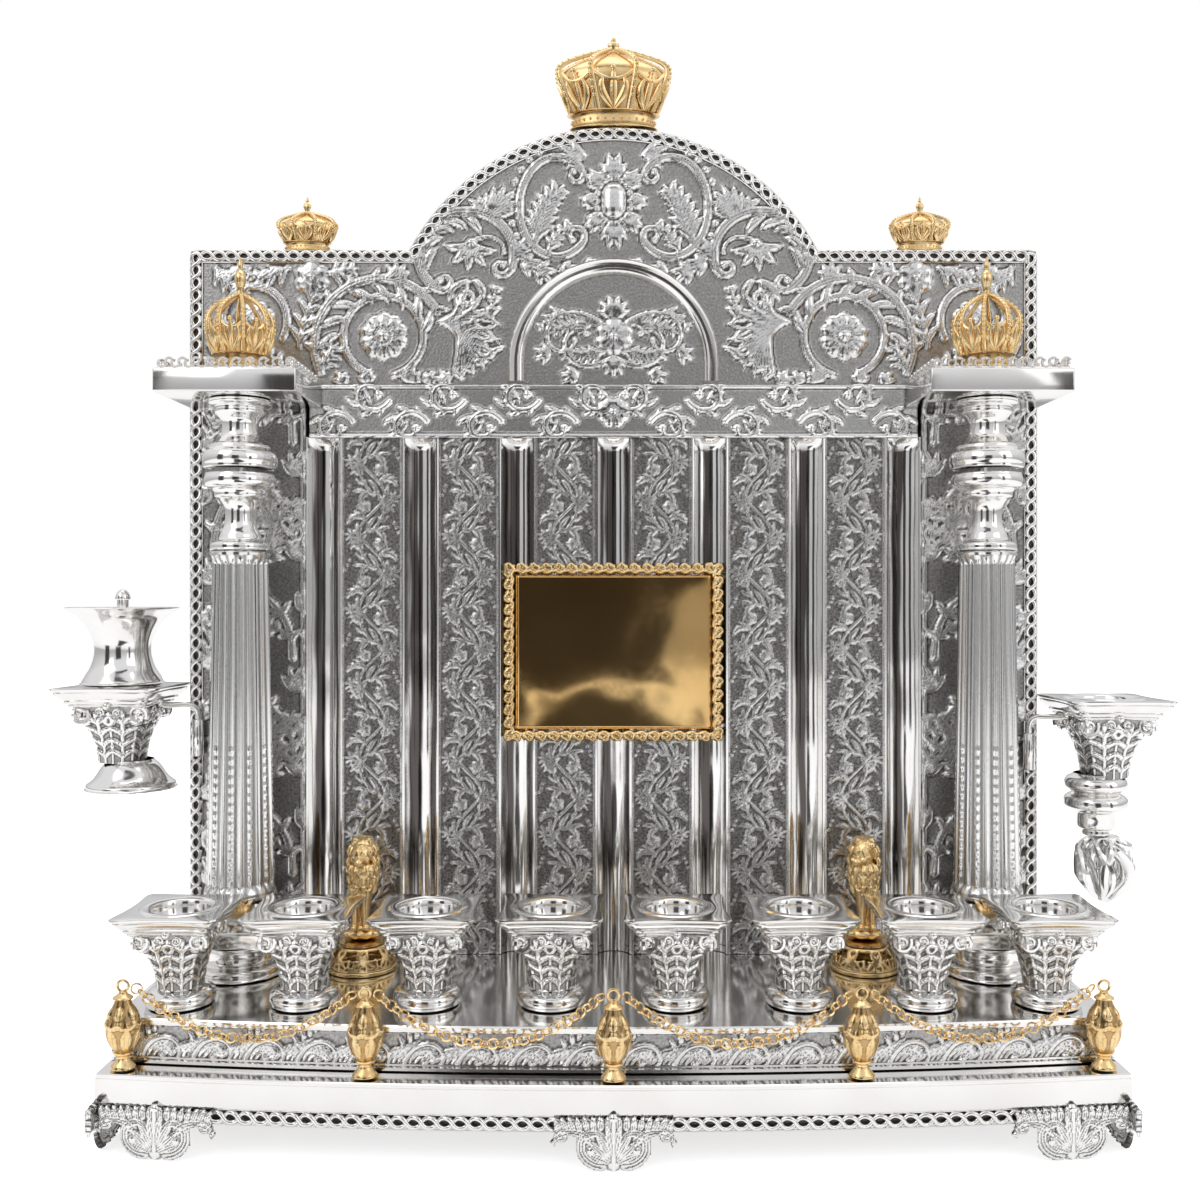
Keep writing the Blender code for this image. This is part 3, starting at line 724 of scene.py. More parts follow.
def crestScroll(relief):  # the left half of the arch field; the other half mirrors it
    # the C scrolls beside the rosette
    ringBand(relief, -29, 437, 19, 25.5, 50, 310, 2.3, 2.4)
    scroll(relief, -16.9, 456.6, -40, 17, -12, -22, 1.9, 2.4)
    scroll(relief, -16.9, 417.4, 40, 21, 8, 20, 2.1, 2.4)
    acanthus(relief, -40, 419, 74, 33, 0.4, -2.8, 2.2, 2.4, 6)
    acanthus(relief, -33, 415, 62, 18, -0.5, -3.0, 1.7, 2.1, 4)
    for k in range(9):
        a = math.radians(112 + 14 * k)
        relief.stamp(-29 + 23.6 * math.cos(a), 437 + 29.8 * math.sin(a), 2.1, 2.0)
    fan(relief, -63, 431, 58, 70, 6, 21, 2.4, 2.2, 14)
    fan(relief, -66, 436, 150, 60, 3, 11, 2.0, 1.9, 10)
    fan(relief, -14, 463, 172, 60, 4, 19, 2.0, 1.9, 16)
    for x, z, heading, size in ((-52, 413, 30, 13), (-47, 408, -8, 12), (-40, 405, -20, 13),
                                (-27, 404, 0, 11),
                                (-14, 406, 20, 8), (-94, 431, 62, 12), (-100, 409, 100, 9)):
        fan(relief, x, z, heading, 84, 4, size, 2.1, 2.0, 14)
    # the flower scroll
    ringBand(relief, -75.3, 412.9, 24.5, 22, 232, -20, 2.6, 2.5)
    scroll(relief, -52.3, 405.4, -110, 19, -9, -22, 2.2, 2.5)
    scroll(relief, -90.4, 395.6, -40, 18, 10, 22, 2.2, 2.5)
    for a in (205, 178, 150, 122, 94):
        c, s = math.cos(math.radians(a)), math.sin(math.radians(a))
        lobe(relief, -75.3 + 22 * c, 412.9 + 19.5 * s, a - 112, 15, -3.4, 2.4, 2.2)
    for heading, curl in ((-150, -3.4), (-122, -1.6), (-95, 0.0), (-68, 1.6), (-42, 3.4)):
        lobe(relief, -73, 418, heading, 15, curl, 2.6, 2.7)
    relief.stamp(-72.6, 418.4, 3.3, 3.4)
    scroll(relief, -71, 420, 24, 20, -2.0, -10.0, 1.4, 2.2)
    lobe(relief, -84, 390, 66, 17, -3.0, 2.9, 2.6)
    lobe(relief, -66, 391, 100, 12, 3.0, 2.4, 2.4)
    # the spreading acanthus under it
    scroll(relief, -66, 383, 196, 36, -1.5, -20, 2.4, 2.5)
    for k in range(7):
        way, size = 24 - 17 * k, 37 - 1.6 * k
        lobe(relief, -90 + 1.8 * k, 378 - 0.6 * k, way, size, -1.3, 2.7, 2.4)
        lobe(relief, -88 + 1.8 * k, 377 - 0.6 * k, way + 9, size * 0.86, 1.6, 1.6, 2.7)
    for k in range(6):
        lobe(relief, -64 - 4.5 * k, 364 - 2.2 * k, -12 - 15 * k, 9.5, 5.0, 1.8, 2.5)
    acanthus(relief, -62, 381, 84, 16, 1.0, -4.0, 1.8, 2.3, 3)
    # the round scroll with its rosette, and the arched stem over it
    ringBand(relief, -117.3, 371, 20.5, 20.5, 250, -75, 2.0, 2.4)
    rosette(relief, -117.3, 371, 13.5, 10, 2.6, 11)
    ringBand(relief, -119, 367, 33.5, 33.5, 205, 30, 2.5, 2.5)
    for a in (186, 164, 142, 120, 98, 76, 54, 34):
        c, s = math.cos(math.radians(a)), math.sin(math.radians(a))
        lobe(relief, -119 + 31 * c, 367 + 31 * s, a - 118, 15, -3.6, 2.5, 2.2)
        lobe(relief, -119 + 34 * c, 367 + 34 * s, a - 62, 8, 4.0, 1.9, 1.8)
    fan(relief, -104, 347, 75, 100, 5, 10, 2.0, 2.0, 18)
    fan(relief, -110, 399, 96, 90, 5, 12, 2.0, 2.0, 18)
    rosette(relief, -154, 401, 8.5, 6, 2.3, 6)
    frond(relief, -147, 403, 6, 19, 0.4, 2.2, 2.1)
    frond(relief, -150, 352, 70, 20, -1.0, 2.2, 2.1)
    for x, heading in ((-136, 150), (-126, 90), (-96, 40), (-84, 140)):
        fan(relief, x, 347, heading, 84, 4, 9, 1.9, 2.0, 14)
    # the corner scroll behind the column's crown
    ringBand(relief, -183, 379, 16.5, 17.5, 300, -30, 2.1, 2.4)
    rosette(relief, -183, 379, 10.5, 8, 2.5, 8)
    for x, z, heading, size, bend in ((-164, 350, 128, 24, 1.5), (-204, 350, 84, 30, -0.8),
                                      (-166, 406, 214, 24, -1.8),
                                      (-203, 406, -58, 22, 1.6), (-160, 366, 84, 30, -0.6),
                                      (-186, 406, -170, 16, 2.0)):
        acanthus(relief, x, z, heading, size, bend, bend * 1.5, 1.9, 2.2, 4)


def crestRosette(relief):
    for i in range(8):
        a = tau * i / 8
        reach = (9.5, 12.0, 16.0, 12.0)[i % 4]
        fan(relief, 8.4 * math.cos(a), 440 + 10.4 * math.sin(a), math.degrees(a), 64, 4, reach, 2.5, 2.3, 6)
    for i in range(18):
        a = tau * i / 18
        relief.stamp(8.8 * math.cos(a), 440 + 11.6 * math.sin(a), 1.7, 2.8)
    for k in np.linspace(-1, 1, 11):
        relief.stamp(0, 440 + 3.6 * k, 6.0, 3.3)


def lunetteScroll(relief):
    scroll(relief, -7, 378, 148, 56, 1.0, 9.5, 1.8, 2.0)
    scroll(relief, -2, 359, 208, 46, -1.4, -9.5, 1.7, 2.0)
    acanthus(relief, -9, 377, 172, 24, 0.6, 3.4, 1.5, 1.9, 5)
    acanthus(relief, -5, 363, 196, 22, -0.6, -3.4, 1.5, 1.9, 5)
    acanthus(relief, -26, 384, 196, 16, 2.0, 4.0, 1.4, 1.8, 3)
    fan(relief, -18, 352, 196, 80, 4, 11, 1.6, 1.8, 14)
    fan(relief, -32, 362, 180, 90, 4, 10, 1.6, 1.8, 14)
    fan(relief, 0, 380, 90, 110, 6, 13.0, 2.0, 2.0, 10)
    fan(relief, 0, 361, -90, 80, 5, 12.0, 1.8, 2.0, 10)
    rosette(relief, 0, 371, 9.0, 6, 2.2, 8)


def crestField():
    relief = Relief((-210.8, 346.0), (210.8, panelHigh[2] + 2), 0.72)
    crestScroll(relief)
    crestRosette(relief)
    relief.mirror()
    grid = relief.low[0] + relief.cell * np.arange(relief.columns + 1)
    rows = relief.low[1] + relief.cell * np.arange(relief.rows + 1)
    x, z = np.meshgrid(grid, rows)
    hole = lunetteGap(x, z, lunetteHigh[0] - 2)
    relief.height *= hole > 0
    inner = Relief(relief.low, (210.8, panelHigh[2] + 2), relief.cell)
    lunetteScroll(inner)
    inner.mirror()
    relief.height = np.maximum(relief.height, inner.height * (hole < -6))
    mesh = relief.sheet("crest_field", onWall, lambda u, v: insideArch(u, v, 4.5), skirt=1.5, depth=2.0,
                        ground=0.50, tone=0.10)
    finishPiece("crest_field", mesh, "wallRelief", ["wall_panel"], sharp=0)


def wallCore():
    bm = bmesh.new()
    outline = wallPath(5.5, 4.0)
    loft(bm, [[(x, y, z) for x, z in outline] for y in (wallFront + 6.4, panelHigh[1])])
    # near-black core: painted shade in the gaps between the wall's parts
    finishPiece("wall_core", meshFrom(bm, "wall core"), "paintedShade", ["wall_panel"])


def ropeStrip(name, path, place, pitch, nodes):  # two strands that cross, between two thin wires
    run = runOf(path)
    count = round(run[-1] / pitch)
    at = np.linspace(0, run[-1], count * 8 + 1)
    x, z = np.interp(at, run, path[:, 0]), np.interp(at, run, path[:, 1])
    ahead = np.stack([np.gradient(x), np.gradient(z)], 1)
    ahead /= np.linalg.norm(ahead, axis=1)[:, None] + 1e-9
    bm = bmesh.new()
    phase = math.pi * at * count / run[-1]
    for sign in (-1, 1):
        off = sign * 2.1 * np.sign(np.cos(phase)) * np.abs(np.cos(phase)) ** 0.62
        lift = 0.55 + sign * 0.55 * np.sin(phase)
        strand = np.stack(place(x - ahead[:, 1] * off, z + ahead[:, 0] * off, lift), 1)
        sweep(bm, strand, 1.05, 7)
    for off in (-2.95, 2.95):
        wire = np.stack(place(x - ahead[:, 1] * off, z + ahead[:, 0] * off, np.full(len(x), 0.25)), 1)
        sweep(bm, wire, 0.34, 4)
    finishPiece(name, meshFrom(bm, name), "polished", nodes, sharp=60)


def wallRope():
    path = wallPath(wall["ropeWidth"] / 2)
    ropeStrip("wall_rope", path, lambda x, z, h: (x, wallFront - 0.6 - h, z), wall["ropePitch"],
              ["wall_rope_border"])
    # near-black band behind the wall rope: painted shade in its holes
    bm = bmesh.new()
    outer, inner = wallPath(0.2, 3.0), wallPath(6.2, 3.0)
    count = min(len(outer), len(inner))
    outer = outer[np.linspace(0, len(outer) - 1, count).astype(int)]
    inner = inner[np.linspace(0, len(inner) - 1, count).astype(int)]
    front, back = wallFront + 0.2, wallHigh[1]
    rings = []
    for (ox, oz), (ix, iz) in zip(outer, inner):
        rings.append([(ox, front, oz), (ix, front, iz), (ix, back, iz), (ox, back, oz)])
    loft(bm, rings)
    finishPiece("wall_edge", meshFrom(bm, "wall edge"), "paintedShade", ["wall_rope_border"])


def lunetteArch():
    low = lunetteLow[2]
    spring, half = lunetteHigh[2] - lunetteHigh[0], lunetteHigh[0]
    section = [(0.2, 0.0), (0.6, 1.9), (1.6, 2.5), (2.6, 1.6), (3.4, 1.0), (4.4, 2.2), (5.8, 3.4), (7.0, 3.0),
               (8.0, 1.6), (8.4, 0.0)]
    bm = bmesh.new()
    rings = []
    stops = [(-1, low)] + [(a, None) for a in np.linspace(math.pi, 0, 64)] + [(1, low)]
    for a, foot in stops:
        ring = []
        for inset, lift in section:
            r = half - inset
            x, z = (a * r, foot) if foot else (r * math.cos(a), spring + r * math.sin(a))
            ring.append((x, wallFront - lift, z))
        rings.append(ring)
    loft(bm, rings)
    finishPiece("lunette_arch", meshFrom(bm, "lunette arch"), "polished", ["lunette_moulding"], sharp=50)


def friezeBand():  # a generic run of leaves where the real one has words
    relief = Relief((bandLow[0], bandLow[2]), (bandHigh[0], bandHigh[2]), 0.62)
    middle = (bandLow[2] + bandHigh[2]) / 2
    for k in range(8):
        x = 9.5 + k * 19.0
        flip = 1 if k % 2 else -1
        leafyStem(relief, x - 9.5, middle - flip * 5.0, flip * 52, 38, -flip * 4.0, -flip * 13.0, friezeLeaf)
        fan(relief, x + 2, middle - flip * 9.5, flip * 35, 120, 5, 9.0, 1.4, 1.6, 25)
    rosette(relief, 0, middle, 8.5, 8, 2.0, 0)
    relief.mirror()
    xs = np.arange(bandLow[0], bandHigh[0], 0.6)
    for z in (bandLow[2] + 1.0, bandHigh[2] - 1.0):
        relief.stroke(np.stack([xs, np.full(len(xs), z)], 1), 1.2, 1.6)

    def place(u, v, h):
        return u, bandLow[1] + 0.4 - h * 0.8, v
    mesh = relief.sheet("frieze_band_relief", place, skirt=1.8, depth=1.8, ground=0.42)
    finishPiece("frieze_band_relief", mesh, "wallRelief", ["frieze_band"], sharp=0)


def buildWall():
    wallCore()
    for i in range(7):
        flutePiece(i + 1, (i - 3) * wall["flutePitch"])
    for i in range(6):
        vinePanel(i + 1, (i - 2.5) * wall["flutePitch"])
    sideStrip("side_strip_left", -1)
    sideStrip("side_strip_right", 1)
    crestField()
    wallRope()
    lunetteArch()
    friezeBand()
    print("stage: wall")


# base
plinthLow, plinthHigh = boxMm("base_plinth")
boxLow, boxHigh = boxMm("base_box")
bow = 12.5


def planPath(half, corner, back, inset=0.0, steps=90):  # right around the base, from the back left corner
    halfIn, backIn = half - inset, back - inset
    xs = np.linspace(-halfIn, halfIn, steps)
    front = np.stack([xs, corner - bow * (1 - (xs / half) ** 2) + inset], 1)
    left = np.stack([np.full(20, -halfIn), np.linspace(backIn, front[0, 1], 21)[:-1]], 1)
    right = np.stack([np.full(20, halfIn), np.linspace(front[-1, 1], backIn, 21)[1:]], 1)
    return np.vstack([left, front, right])


plinthPlan = (plinthHigh[0], plinthLow[1] + bow, plinthHigh[1])
boxPlan = (boxHigh[0], boxLow[1] + bow, boxHigh[1])


def planSolid(name, plan, profile, look, nodes):  # profile is (inset, height) from the bottom up
    bm = bmesh.new()
    loft(bm, [[(x, y, z) for x, y in planPath(*plan, inset)] for inset, z in profile])
    finishPiece(name, meshFrom(bm, name), look, nodes, sharp=35)


def outFrom(path, run, back=0.0):  # places (distance along, height, lift) on the outline of the base
    def place(u, v, h):
        x, y = (np.interp(u, run, path[:, i]) for i in (0, 1))
        ax, ay = (np.interp(u + 0.5, run, path[:, i]) - np.interp(u - 0.5, run, path[:, i]) for i in (0, 1))
        size = np.hypot(ax, ay) + 1e-9
        return x + ay / size * (h - back), y - ax / size * (h - back), v
    return place


def baseFrieze():
    path = planPath(*boxPlan, 1.0, 200)
    run = runOf(path)
    low, high = boxLow[2] + 3.0, boxHigh[2] - 3.2
    relief = Relief((0, low), (run[-1], high), 0.52)
    count = round(run[-1] / 23.0)
    for k in range(count):
        x = (k + 0.12) * run[-1] / count
        vine, _ = stem(x, low + 0.4, 64, 36, -1.6, -16.0)
        relief.stroke(vine, np.linspace(1.3, 0.8, len(vine)), 1.35)
        relief.stamp(*vine[-1], 1.8, 1.7)
        for j in range(1, 6):
            lobe(relief, x + 2.4 * j, low + 0.3, 72 - 3 * j, 19 - 2.7 * j, -4.0 - 0.8 * j, 1.15, 1.3)
        for j in range(4):
            lobe(relief, x - 2.4 - 2.3 * j, low + 0.3 + 0.2 * j, 66 - 3 * j, 15.5 - 1.6 * j, -2.4, 1.2, 1.2)
            lobe(relief, x + 0.6 + 2.4 * j, low + 6.4 + 2.2 * j, 104 - 14 * j, 7.0 - 1.0 * j, 3.5, 1.15, 1.1)
    mesh = relief.sheet("base_frieze", outFrom(path, run), skirt=0.8, depth=1.0, ground=0.52, tone=0.12)
    finishPiece("base_frieze", mesh, "wallRelief", ["base_box"], sharp=0)


def baseRope():
    path = planPath(*plinthPlan, 1.4)
    closed = np.vstack([path, path[:1]])
    low, high = boxMm("base_rope_border")
    middle = (low[2] + high[2]) / 2
    run = runOf(closed)
    flat = np.stack([run, np.full(len(run), middle)], 1)
    ropeStrip("base_rope", flat, outFrom(closed, run, 0.8), 6.5, ["base_rope_border"])
    # near-black strip behind the base rope: painted shadow in its holes
    planSolid("base_rope_back", plinthPlan, [(3.2, low[2] + 0.3), (3.2, high[2])], "paintedShade",
              ["base_rope_border"])


def buildBase():
    low, high = plinthLow[2], plinthHigh[2]
    planSolid("plinth", plinthPlan,
              [(2.2, low), (0.7, low + 0.4), (0.0, low + 1.4), (0.0, high - 2.2), (0.5, high - 1.9),
                                     (0.5, high - 1.2), (0.1, high - 0.9), (0.1, high - 0.4), (0.6, high)],
              "polished", ["base_plinth"])
    low, high = boxLow[2], boxHigh[2]
    planSolid("platform", boxPlan, [(0.0, low + 0.3), (0.0, low + 1.6), (0.9, low + 2.1), (0.9, low + 2.9),
                                    (2.2, low + 3.1),
                                    (2.2, high - 3.3), (0.8, high - 3.1), (0.8, high - 2.5),
                                    (0.1, high - 2.1),
                                    (0.0, high - 0.7), (0.5, high)], "polished", ["base_box"])
    baseFrieze()
    baseRope()
    print("stage: base")


# feet
foot = {"cell": 0.42, "thick": 2.4, "half": 24.5, "out": 194, "reach": 220, "front": -66.0, "side": 26.4}


def footRelief():
    half, (low, high) = foot["half"], (0.9, 24.3)
    relief = Relief((-half, low), (half, high), foot["cell"])
    scroll(relief, -5, 3.0, 176, 36, -4.5, -17.0, 2.4, 2.9)
    scroll(relief, -9.5, 13.5, 135, 19, 4.5, 6.5, 2.1, 2.7)
    scroll(relief, -22.0, 18.2, 190, 12, 20, 34, 1.5, 2.6)
    scroll(relief, -13.5, 15, 215, 10, 24, 34, 1.4, 2.5)
    fan(relief, 0, 3.5, 90, 116, 8, 18.5, 2.0, 3.1, 16)
    for k in range(8):
        lobe(relief, -22 + 2.8 * k, 17.2, 118 - 5 * k, 6.6, 1.5, 1.6, 2.9)
    relief.stroke([(0, z) for z in np.arange(1.2, 21, 0.4)], 1.1, 3.3)
    relief.stamp(0, 22.2, 2.2, 3.2)
    relief.stamp(0, 3.4, 2.6, 3.0)
    for x, z, r in ((-3, 7, 3.2), (-4.5, 11, 4.2), (-5.5, 15, 5.2), (-6, 18, 5.0), (-14, 18.5, 2.6),
                    (-19, 19, 2.2), (0, 3, 3.0)):
        relief.stamp(x, z, r, 0.9, 0.12)
    relief.mirror()
    return relief


def footPiece(name, relief, x, y, angle, sides):
    c, s = math.cos(angle), math.sin(angle)

    def keep(u, v):
        return relief.read(relief.height, u, v) > 0.5

    def front(u, v, h):
        out = 0.2 - np.clip(h, -9, 9) * 0.62
        return x + u * c - out * s, y + u * s + out * c, v
    mesh = relief.sheet(name, front, keep, depth=1.1, ground=0.8)
    thicken(finishPiece(name, mesh, "castRelief", [name], sharp=0), foot["thick"])
    if sides:
        def edge(u, v, h):
            return x + sides * foot["side"] + sides * np.clip(h, -9, 9) * 0.42, y + 17.0 + u * 0.8, v
        mesh = relief.sheet(name + "_side", edge, keep, depth=1.1, ground=0.8)
        thicken(finishPiece(name + "_side", mesh, "castRelief", [name], sharp=0), foot["thick"], 0)
    bm = bmesh.new()
    top = boxMm("bottom_board")[0][2] - 0.2
    rings = []
    for z, wide, back in ((0.0, 6.5, 9.0), (3.0, 7.5, 10.0), (7.0, 6.0, 10.5), (12.0, 9.5, 14.0),
                          (top, 14.0, 19.0)):
        corners = [(-wide, 2.2), (wide, 2.2), (wide * 0.9, back), (-wide * 0.9, back)]
        rings.append([(x + u * c - v * s, y + u * s + v * c, z) for u, v in corners])
    loft(bm, rings)
    bmesh.ops.bevel(bm, geom=bm.edges[:], offset=0.8 * mm, segments=2, profile=0.5, material=-1,
                    affect="EDGES")
    finishPiece(name + "_leg", meshFrom(bm, name), "polished", [name])


def buildFeet():
    relief = footRelief()
    slope = math.atan(2 * bow * foot["out"] / foot["reach"] ** 2)
    for name in [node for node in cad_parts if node.startswith("foot_")]:
        low, high = boxMm(name)
        x = (low[0] + high[0]) / 2
        back = "back" in name
        y = high[1] - 2.0 if back else foot["front"] + bow * (x / foot["reach"]) ** 2
        angle = math.pi if back else slope * np.sign(round(x))
        footPiece(name, relief, x, y, angle, np.sign(round(x)) * (0 if back else 1))
    print("stage: feet")


# cups and capitals
capital = {"sides": 72, "cell": 0.5, "tip": 24.3, "volute": 4.2, "inner": 2.1, "bead": 1.9}


def squareRing(tip, z, x, y, hollow=0.10,
               count=capital["sides"]):  # a square with cut corners and sides that curve in
    points = []
    for i in range(count):
        a = tau * (i + 0.5) / count
        c, s = math.cos(a), math.sin(a)
        reach = tip / max(abs(c), abs(s))
        along = min(abs(c), abs(s)) / max(abs(c), abs(s))
        reach *= 1 - hollow * (1 - along ** 2)
        reach = min(reach, tip * 1.30)
        points.append((x + reach * c, y + reach * s, z))
    return points


def roundRing(radius, z, x, y):
    count = capital["sides"]
    return [(x + radius * math.cos(tau * (i + 0.5) / count), y + radius * math.sin(tau * (i + 0.5) / count),
             z)
            for i in range(count)]


def volute(bm, x, y, z, facing, radius, hand):  # a coiled scroll on a face that looks along an angle
    side = np.array([-math.sin(facing), math.cos(facing), 0])
    out = np.array([math.cos(facing), math.sin(facing), 0])
    t = np.linspace(0, 1, 26)
    spin = hand * (tau * 1.55 * t - 0.5)
    reach = radius * (1 - 0.80 * t)
    path = [np.array((x, y, z)) + r * (math.cos(a) * side + math.sin(a) * np.array((0, 0, 1))) + out * 1.1 * k
            for r, a, k in zip(reach, spin, t)]
    sweep(bm, path, np.linspace(1.05, 0.55, len(t)) * radius / 4.0, 6)
    ball(bm, *(np.array((x, y, z)) + out * 1.0), radius * 0.30, detail=1)
    ball(bm, *(np.array((x, y, z)) - out * 0.6), radius * 0.86,
         (abs(side[0]) * 0.7 + 0.3, abs(side[1]) * 0.7 + 0.3, 1))


def bellLeaves(radius, low, high):
    relief = Relief((0, low), (tau * radius, high), capital["cell"], wraps=True)
    step = relief.span / 8
    tall = high - low
    for k in range(8):
        x = step * (k + 0.5)
        relief.stroke([(x, z) for z in np.arange(low, low + tall * 0.9, 0.4)], 0.75, 1.5)
        for part in (0.08, 0.28, 0.48, 0.68):
            for side in (-1, 1):
                lobe(relief, x, low + tall * part, 90 - side * 28, tall * 0.34, -side * 6.0, 1.25, 1.5)
        for side in (-1, 1):
            path, _ = stem(x + side * 0.6, low + tall * 0.72, 90 - side * 15, tall * 0.52, -side * 8,
                           -side * 42)
            relief.stroke(path, 0.8, 1.9)
        relief.stroke([(step * k, z) for z in np.arange(low, high - tall * 0.1, 0.4)], 0.7, 0.8)
        relief.stamp(step * k, low + tall * 0.84, 1.7, 1.5)
        relief.stamp(step * k, low + tall * 0.30, 1.2, 1.1)
    return relief


def capitalMeshes(tip, top, low, x, y, waist):
    # the chased bell, then the smooth parts: abacus, ring and bowl
    scale = tip / capital["tip"]
    bellTop = top - 9.0 * scale
    relief = bellLeaves(waist * 1.25, low, bellTop)

    def place(u, v, h):
        t = np.clip((v - low) / (bellTop - low), 0, 1)
        a = tau * u / relief.span
        flare = waist + (tip * 0.70 - waist) * t ** 2.3 * 0.85
        facet = 1 + 0.035 * np.cos(8 * a) * (1 - t)
        square = tip * 0.62 / np.maximum(np.abs(np.cos(a)), np.abs(np.sin(a)))
        blend = t ** 1.9 * 0.9
        r = flare * facet * (1 - blend) + square * blend + h * 0.8
        return x + r * np.cos(a), y + r * np.sin(a), v
    bell = relief.sheet("bell", place, depth=0.9, ground=0.62)
    bm = bmesh.new()
    bevelled = [(0.66, -9.6), (0.735, -9.3), (0.76, -8.7), (0.74, -8.2), (0.80, -7.6), (0.82, -6.9),
                (0.80, -6.5),
                (0.86, -5.6), (0.93, -4.0), (0.955, -2.9), (0.94, -2.6), (0.98, -2.0), (1.0, -1.2),
                (0.995, -0.7)]
    rings = [squareRing(tip * f, top + z * scale, x, y) for f, z in bevelled]
    rings.append(squareRing(tip * 0.96, top - 0.55 * scale, x, y))
    bowl = [(0.735, -0.75), (0.715, -0.3), (0.69, -0.02), (0.655, 0.0), (0.62, -0.25), (0.56, -0.55),
            (0.535, -1.2), (0.53, -3.0),
            (0.50, -6.5), (0.44, -9.2), (0.36, -10.6), (0.05, -11.0)]
    rings += [roundRing(tip * f, top + z * scale, x, y) for f, z in bowl]
    loft(bm, rings)
    for facing in tau * np.arange(4) / 4:
        side = np.array((-math.sin(facing), math.cos(facing)))
        out = np.array((math.cos(facing), math.sin(facing)))
        for hand in (-1, 1):
            at = np.array((x, y)) + out * tip * 0.60 + side * hand * tip * 0.53
            volute(bm, *at, top - 12.6 * scale, facing, capital["volute"] * scale, hand)
            at = np.array((x, y)) + out * tip * 0.64 + side * hand * tip * 0.16
            volute(bm, *at, top - 11.6 * scale, facing, capital["inner"] * scale, -hand)
        ball(bm, *(np.array((x, y)) + out * tip * 0.70), top - 8.6 * scale, capital["bead"] * scale)
    return bell, meshFrom(bm, "capital top")


def shifted(mesh, x):
    copy = mesh.copy()
    copy.transform(Matrix.Translation((x * mm, 0, 0)))
    return copy


def buildCups():
    low, high = boxMm("cup_1")
    x, y = (low[:2] + high[:2]) / 2
    tip = (high[0] - low[0]) / 2
    foot, top = low[2], high[2]
    bell, smooth = capitalMeshes(tip, top, foot + 8.0, x, y, 9.8)
    bm = bmesh.new()
    turn(bm, smoothProfile([(0.1, 0.1), (13.2, 0.1), (14.9, 1.4), (15.4, 3.4), (14.7, 5.6), (12.6, 7.1),
                            (10.4, 7.6),
                            (9.8, 8.2), (9.4, 8.8)], 4), x, y, 56)
    bmesh.ops.translate(bm, vec=(0, 0, foot * mm), verts=bm.verts)
    ring = meshFrom(bm, "cup foot")
    for i in range(8):
        node = "cup_%d" % (i + 1)
        move = boxMm(node)[0][0] - low[0]
        finishPiece(node + "_bell", shifted(bell, move), "castRelief", [node], sharp=0)
        finishPiece(node + "_top", shifted(smooth, move), "polished", [node], sharp=42)
        finishPiece(node + "_foot", shifted(ring, move), "polished", [node], sharp=60)
    print("stage: cups")


# side lamps
def turnedPiece(name, profile, node, look="polished", body="root", steps=56, smooth=4, rise=0.0):
    bm = bmesh.new()
    profile = raised(profile, rise)
    turn(bm, smoothProfile(profile, smooth) if smooth else profile, *standing(node)[:2], steps)
    finishPiece(name, meshFrom(bm, name), look, [node], body, sharp=45)


lamps = {
    "out": 244.0, "back": 31.0, "tip": 26.5, "waist": 10.8, "pin": 1.5, "bend": 5, "drop": 25.0,
    "left": {"top": 194.7, "low": 156.5, "pinHeight": 183.6},
    "right": {"top": 188.6, "low": 149.0, "pinHeight": 177.5},
}


def lampCapital(side):  # the holder's capital and the bent pin that drops into its socket
    node, body, settings = side + "_holder", side + "_lamp", lamps[side]
    x, y = lamps["out"] * (-1 if side == "left" else 1), lamps["back"]
    bell, smooth = capitalMeshes(lamps["tip"], settings["top"], settings["low"], x, y, lamps["waist"])
    finishPiece(node + "_bell", bell, "castRelief", [node], body, sharp=0)
    finishPiece(node + "_top", smooth, "polished", [node], body, sharp=42)
    end = np.append(standing(side + "_socket")[:2], settings["pinHeight"])
    start = np.array((x, y, settings["pinHeight"]))
    along = (end - start) / np.linalg.norm(end - start)
    path = [start + along * 6, end - along * 7]
    path += [end - along * lamps["bend"] * (1 - math.sin(a)) - np.array((0, 0,
            lamps["bend"] * (1 - math.cos(a))))
             for a in np.radians((0, 18, 36, 54, 72, 90))]
    path.append(end - np.array((0, 0, lamps["drop"])))
    bm = bmesh.new()
    sweep(bm, path, lamps["pin"], 14)
    finishPiece(node + "_pin", meshFrom(bm, "pin"), "polished", [node], body)


